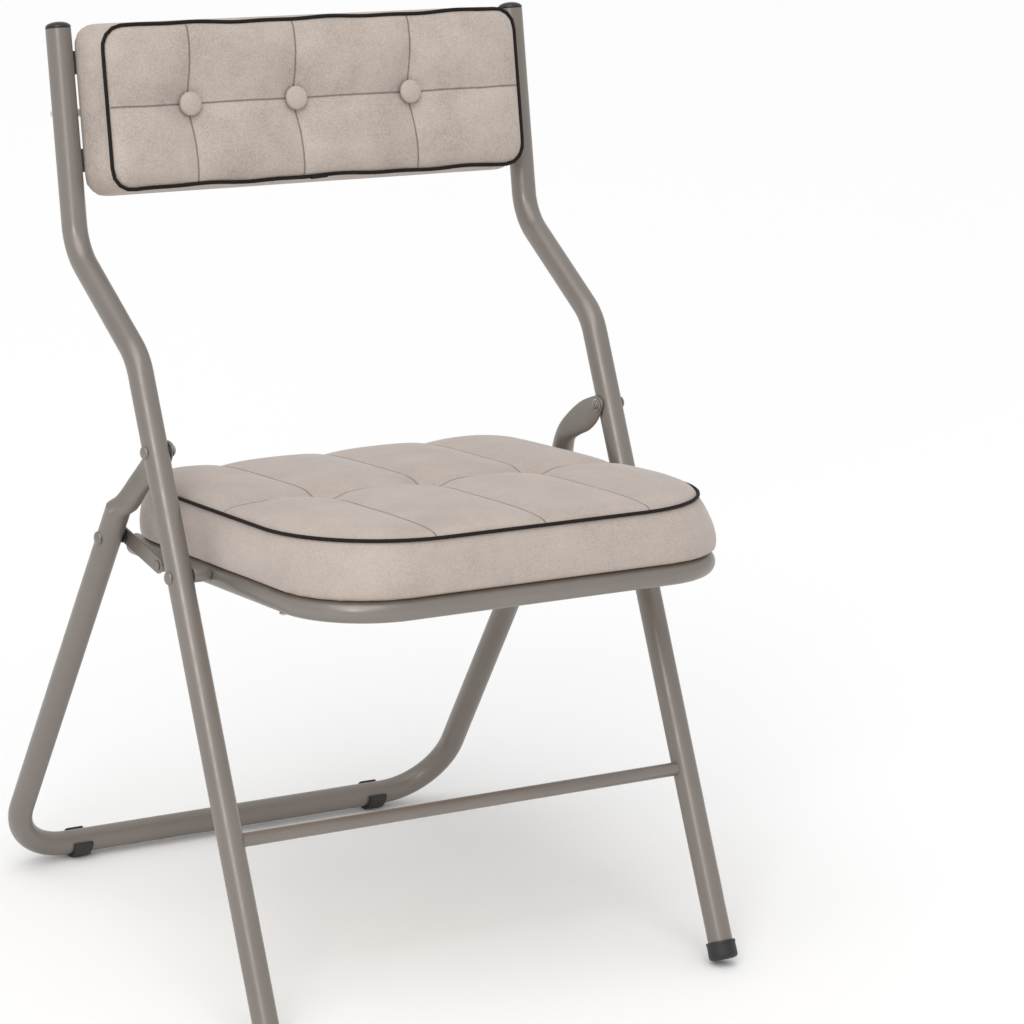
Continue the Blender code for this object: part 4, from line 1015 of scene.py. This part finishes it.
def finish_padding(piece, place, body, finish, node):
    piece.data.shade_smooth()
    piece.data.materials.clear()
    piece.data.materials.append(finish)
    piece.matrix_world = place
    settle(piece, body, [node])


def closed_cord(points, up, radius, sides=12):
    """A round cord along a closed line."""
    rings = []
    count = len(points)
    for i, point in enumerate(points):
        ahead = (points[(i + 1) % count] - points[i - 1]).normalized()
        across = ahead.cross(up).normalized()
        over = across.cross(ahead)
        rings.append(circle((point, across, over), radius, sides))
    return skin_rings(rings, loop=True)


def smooth_step(value):
    value = min(max(value, 0.0), 1.0)
    return value * value * (3 - 2 * value)


# the seat's cushion
def seat_outline(inset, corner_front, corner_rear, steps=12):
    """The seat's closed outline as points, with its four corners rounded."""
    front, rear = -SEAT_FRONT + inset, SEAT_REAR - inset
    wide, narrow = seat_half_width(front) - inset, seat_half_width(rear) - inset
    corners = [(-wide, front), (wide, front), (narrow, rear), (-narrow, rear)]
    radii = [corner_front, corner_front, corner_rear, corner_rear]
    outline = []
    for i, radius in enumerate(radii):
        around = [corners[i - 1], corners[i], corners[(i + 1) % 4]]
        arc = filleted([(*corner, 0) for corner in around], max(radius, 0.004), steps)[1:-1]
        outline += [(point.x, point.y) for point in arc]
    return evenly(outline, SEAT_POINTS)


def evenly(outline, count):
    """The closed outline as that many points an even distance apart."""
    points = [Vector(point) for point in outline]
    ends = points[1:] + points[:1]
    lengths = [(b - a).length for a, b in zip(points, ends)]
    step = sum(lengths) / count
    found, index, walked = [], 0, 0.0
    for i in range(count):
        target = i * step
        while walked + lengths[index] < target:
            walked += lengths[index]
            index += 1
        share = (target - walked) / lengths[index]
        found.append(points[index].lerp(ends[index], share))
    return found


def seat_ring(inset, z, soft=0.0):
    """An outline of the seat's cushion. soft goes from 0 at its base to 1 at the piping."""
    front_r = SEAT_FRONT_R - inset + SEAT_DRAW_R * soft
    outline = seat_outline(inset + SEAT_DRAW * soft, front_r, SEAT_REAR_R - inset)
    return [(x, y, z) for x, y in outline]


def edge_distance(x, y, outline):
    """Distance from (x, y) to the closed outline."""
    point = Vector((x, y))
    best = 1.0
    for a, b in zip(outline, outline[1:] + outline[:1]):
        span = b - a
        share = min(max((point - a).dot(span) / span.length_squared, 0.0), 1.0)
        best = min(best, (a + span * share - point).length)
    return best


def pinch(x, y, seams_x, seam_y, bow):
    """(distance to the nearest seam along y, to the seam along x, to the nearest crossing)."""
    away = abs(y - seam_y)
    drift = bow * (1 - exp(-(away / SEAM_REACH) ** 2))
    to_x = min(abs(x - seam - drift) for seam in seams_x)
    to_pit = min(hypot(x - seam, y - seam_y) for seam in seams_x)
    return to_x, away, to_pit


def tufted(x, y, inset, seams_x, seam_y, bow, seam_depth, pit_depth, pit_r):
    """How far the cover lies below its crown at (x, y), from its seams and tufting points."""
    valley = 0.012                         # how far from a seam or the edge the cover rises
    to_x, to_y, to_pit = pinch(x, y, seams_x, seam_y, bow)
    sewn = 1 - (1 - exp(-to_x / valley)) * (1 - exp(-to_y / valley))
    near_edge = 1 - exp(-inset / valley)
    pulled = exp(-(to_pit / pit_r) ** 2)
    return near_edge * (seam_depth * sewn + pit_depth * pulled)


def sink_seams(piece, above, edge_ring, shape):
    """Sinks the cover along its seams and tufting points, where it lies above a height."""
    edge = [Vector(point[:2]) for point in edge_ring]
    for vert in piece.data.vertices:
        x, y, z = vert.co
        if z > above:
            vert.co.z -= tufted(x, y, edge_distance(x, y, edge), **shape)


def seat_cushion():
    base, top = SEAT_BASE + GAP, SEAT_TOP
    rings = [
        # inset, height, how far from the base's outline to the piping's
        seat_ring(0.0050, base), seat_ring(0.0018, base + 0.0009),
        seat_ring(0.0004, base + 0.0038), seat_ring(-0.0010, base + 0.012, 0.1),
        seat_ring(-0.0016, base + 0.022, 0.3), seat_ring(-0.0010, top - 0.010, 0.7),
        seat_ring(0.0002, top - 0.003, 1.0),
    ]
    # inset from the piping's outline, rise above its plane
    crown = (
        (0.0010, 0.0004), (0.0025, 0.0028), (0.0060, 0.0056), (0.0120, 0.0080),
        (0.0250, 0.0106), (0.045, 0.0120), (0.070, 0.0126),
    )
    rings += [seat_ring(inset, top + rise, 1.0) for inset, rise in crown]
    piece = padding("seat_padding", rings, SEAT_VOXEL)
    sink_seams(piece, top + 0.0015, seat_ring(0.0, 0.0, 1.0), SEAT_SHAPE)

    def hold(point):
        if point.z < base + 0.004:
            return 1.0
        if point.z < top + 0.0022:
            return 0.93 if point.z < top - 0.003 else 1.0
        to_x, to_y, to_pit = pinch(point.x, point.y, SEAT_SEAMS, SEAT_CROSS_SEAM, 0.0)
        return 1.0 if min(to_x, to_y) < 0.0030 or to_pit < 0.011 else 0.0

    inflated(piece, hold, SEAT_MOST_MOVE)
    refined(piece)
    finish_padding(piece, SEAT_FRAME, "seat", SEAT_CLOTH, "seat_cushion")


def seat_cord():
    points = [Vector(point) for point in seat_ring(-0.0004, SEAT_TOP + 0.0002, 1.0)]
    bm = placed(closed_cord(points, Vector((0, 0, 1)), CORD_R), SEAT_FRAME)
    add_piece("seat_cord", bm, "seat", CORD, ["seat_piping"], 60)


# the backrest's cushion, built with z out of the padding
PAD_FRAME = BACK_FRAME @ FACING_FRONT


def back_ring(inset, out, soft=0.0):
    """An outline of the backrest's cushion. soft goes from 0 at its rear to 1 at the piping.

    Its top and bottom pull in between the corners there, and waver a little.
    """
    half = CUSHION_HALF - CUSHION_DRAW_X * soft - inset
    low = CUSHION_LOW + CUSHION_DRAW_Z * soft + inset
    high = CUSHION_HIGH - CUSHION_DRAW_Z * soft - inset
    radius = max(CUSHION_R + 0.002 * soft - inset, 0.004)
    ring = []
    for x, y in evenly(back_outline(half, low, high, radius), BACK_POINTS):
        along_side = 1 - (x / half) ** 2
        wave = 0.0006 * sin(43 * x + 1.0) + 0.0004 * sin(97 * x)
        toward = -1 if y > CUSHION_MID else 1
        edge = smooth_step((abs(y - CUSHION_MID) - 0.045) / 0.015)
        y += soft * edge * (toward * CUSHION_PULL * along_side + wave)
        ring.append((x, y, out))
    return ring


def back_cushion():
    rear, front = CUSHION_BACK - 0.0009, CUSHION_FRONT
    rings = [
        # inset, height, how far from the rear's outline to the piping's
        back_ring(-0.0020, rear), back_ring(-0.0022, rear + 0.0005),
        back_ring(-0.0022, rear + 0.004), back_ring(-0.0020, rear + 0.012, 0.3),
        back_ring(-0.0014, rear + 0.020, 0.55), back_ring(0.0, front - 0.006, 0.9),
        back_ring(0.0004, front - 0.002, 1.0),
    ]
    # inset from the piping's outline, rise above its plane
    crown = (
        (0.0010, 0.0004), (0.0025, 0.0026), (0.0055, 0.0048), (0.0110, 0.0068),
        (0.0220, 0.0084), (0.040, 0.0092),
    )
    rings += [back_ring(inset, front + rise, 1.0) for inset, rise in crown]
    piece = padding("back_padding", rings, BACK_VOXEL)
    sink_seams(piece, front + 0.0014, back_ring(0.0, 0.0, 1.0), BACK_SHAPE)

    def hold(point):
        if point.z < rear + 0.003:
            return 1.0
        if point.z < front + 0.0020:
            return 0.95 if point.z < front - 0.003 else 1.0
        to_x, to_y, to_pit = pinch(point.x, point.y, BUTTON_PLACES, CUSHION_MID, BACK_BOW)
        return 1.0 if min(to_x, to_y) < 0.0028 or to_pit < 0.012 else 0.0

    inflated(piece, hold, BACK_MOST_MOVE)
    refined(piece)
    gathers(piece, front)
    finish_padding(piece, PAD_FRAME, "front_frame", BACK_CLOTH, "back_cushion")


def gathers(piece, front):
    """Small folds in the cover, fanning out from each button."""
    start, end = 0.009, 0.035              # from the button's middle
    for vert in piece.data.vertices:
        if vert.co.z < front:
            continue
        for number, seam in enumerate(BUTTON_PLACES):
            x, y = vert.co.x - seam, vert.co.y - CUSHION_MID
            reach = hypot(x, y)
            if start < reach < end:
                turn = atan2(y, x)
                fold = sin(7 * turn + number) + 0.6 * sin(11 * turn + 2 * number)
                vert.co.z += 0.00035 * fold * exp(-(reach - start) / 0.009)


def back_cord():
    """The backrest's piping, and where its ends lap over each other at the bottom."""
    points = [Vector(point) for point in back_ring(-0.0004, CUSHION_FRONT + 0.0002, 1.0)]
    bm = placed(closed_cord(points, Vector((0, 0, 1)), CORD_R), PAD_FRAME)
    add_piece("back_cord", bm, "front_frame", CORD, ["back_piping"], 60)
    bottom = [point for point in points if point.y < CUSHION_MID]
    join = [point for point in bottom if abs(point.x + 0.003) < 0.012]
    join.sort(key=lambda point: point.x)
    lapped = [point + Vector((0, -0.0006, 0.0010)) for point in join]
    bm = placed(sweep(lapped, (0, 0, 1), 1.1 * CORD_R, 12), PAD_FRAME)
    add_piece("back_cord_join", bm, "front_frame", CORD)


def buttons():
    """Covered buttons: a low dome whose cloth tucks under a rounded rim."""
    rim = 0.0104
    shoulder = rim - 0.0001
    profile = [(0.0365, rim - 0.002), (0.0372, rim - 0.0006), (0.0382, rim), (0.0390, shoulder)]
    for turn in steps_between(0.25, 1.54, 12):
        profile.append((0.0392 + 0.0032 * sin(turn) ** 0.9, shoulder * cos(turn)))
    for side, seam in zip(BUTTONS, BUTTON_PLACES):
        bm = placed(turned(profile, 48), PAD_FRAME @ at(seam, CUSHION_MID, 0))
        name, node = side + "_covered_button", side + "_back_button"
        add_piece(name, bm, "front_frame", BUTTON_CLOTH, [node], 60)


# ---- view ---------------------------------------------------------------------------
VIEW_AZIMUTH = radians(-34.007)
VIEW_ELEVATION = radians(15.517)
VIEW_ROLL = radians(3.311)
VIEW_FROM = Vector((-1.88253, -2.99082, 1.36428))
LENS = 148.19
WORLD_STRENGTH = 0.74
OVERHEAD_STRENGTH = 1.2
KEY_WATTS = 26


def camera():
    lens = bpy.data.cameras.new("view")
    lens.lens = LENS
    lens.sensor_width = 36
    back = Vector((
        sin(VIEW_AZIMUTH) * cos(VIEW_ELEVATION),
        -cos(VIEW_AZIMUTH) * cos(VIEW_ELEVATION),
        sin(VIEW_ELEVATION),
    ))
    right = (-back).cross(Vector((0, 0, 1))).normalized()
    up = back.cross(right)
    facing = Matrix((right, up, back)).transposed().to_4x4()
    turn = facing @ Matrix.Rotation(VIEW_ROLL, 4, "Z")
    viewer = linked("view", lens)
    viewer.matrix_world = Matrix.Translation(VIEW_FROM) @ turn
    bpy.context.scene.camera = viewer


def light(name, kind, place, aim, strength):
    """A light at a place, shining at the aim."""
    data = bpy.data.lights.new(name, kind)
    data.energy = strength
    facing = (Vector(place) - Vector(aim)).to_track_quat("Z", "Y")
    lamp = linked(name, data)
    lamp.matrix_world = Matrix.Translation(place) @ facing.to_matrix().to_4x4()
    return data


def studio():
    """A pale floor, a white world, a wide even light from overhead and a soft one in front."""
    bm = bmesh.new()
    bmesh.ops.create_grid(bm, x_segments=1, y_segments=1, size=12)
    mesh = bpy.data.meshes.new("floor")
    bm.to_mesh(mesh)
    bm.free()
    m = Nodes("floor", (0.93, 0.93, 0.93), 0.8)
    m.rough(m.spread(m.noise(40.0), 0.7, 0.8))
    mesh.materials.append(m.material)
    linked("floor", mesh)
    world = bpy.data.worlds.new("studio")
    world.use_nodes = True
    background = world.node_tree.nodes["Background"]
    background.inputs["Color"].default_value = (1, 1, 1, 1)
    background.inputs["Strength"].default_value = WORLD_STRENGTH
    bpy.context.scene.world = world
    bpy.context.scene.view_settings.view_transform = "Standard"
    overhead = light("overhead", "SUN", (-1.6, -1.5, 3.6), (0, 0, 0), OVERHEAD_STRENGTH)
    overhead.angle = radians(50)
    key = light("key", "AREA", (-2.6, -2.6, 2.2), (0, 0, 0.5), KEY_WATTS)
    key.shape = "DISK"
    key.size = 1.2


finish_cad_nodes()
side_tubes()
rear_frame_tube()
rear_feet()
front_boots()
top_plugs()
rivets()
rings_round_rivets()
links()
cross_rod()
handle()
seat_tube()
cover_panel()
screws()
seat_cushion()
seat_cord()
back_cushion()
back_cord()
buttons()
camera()
studio()
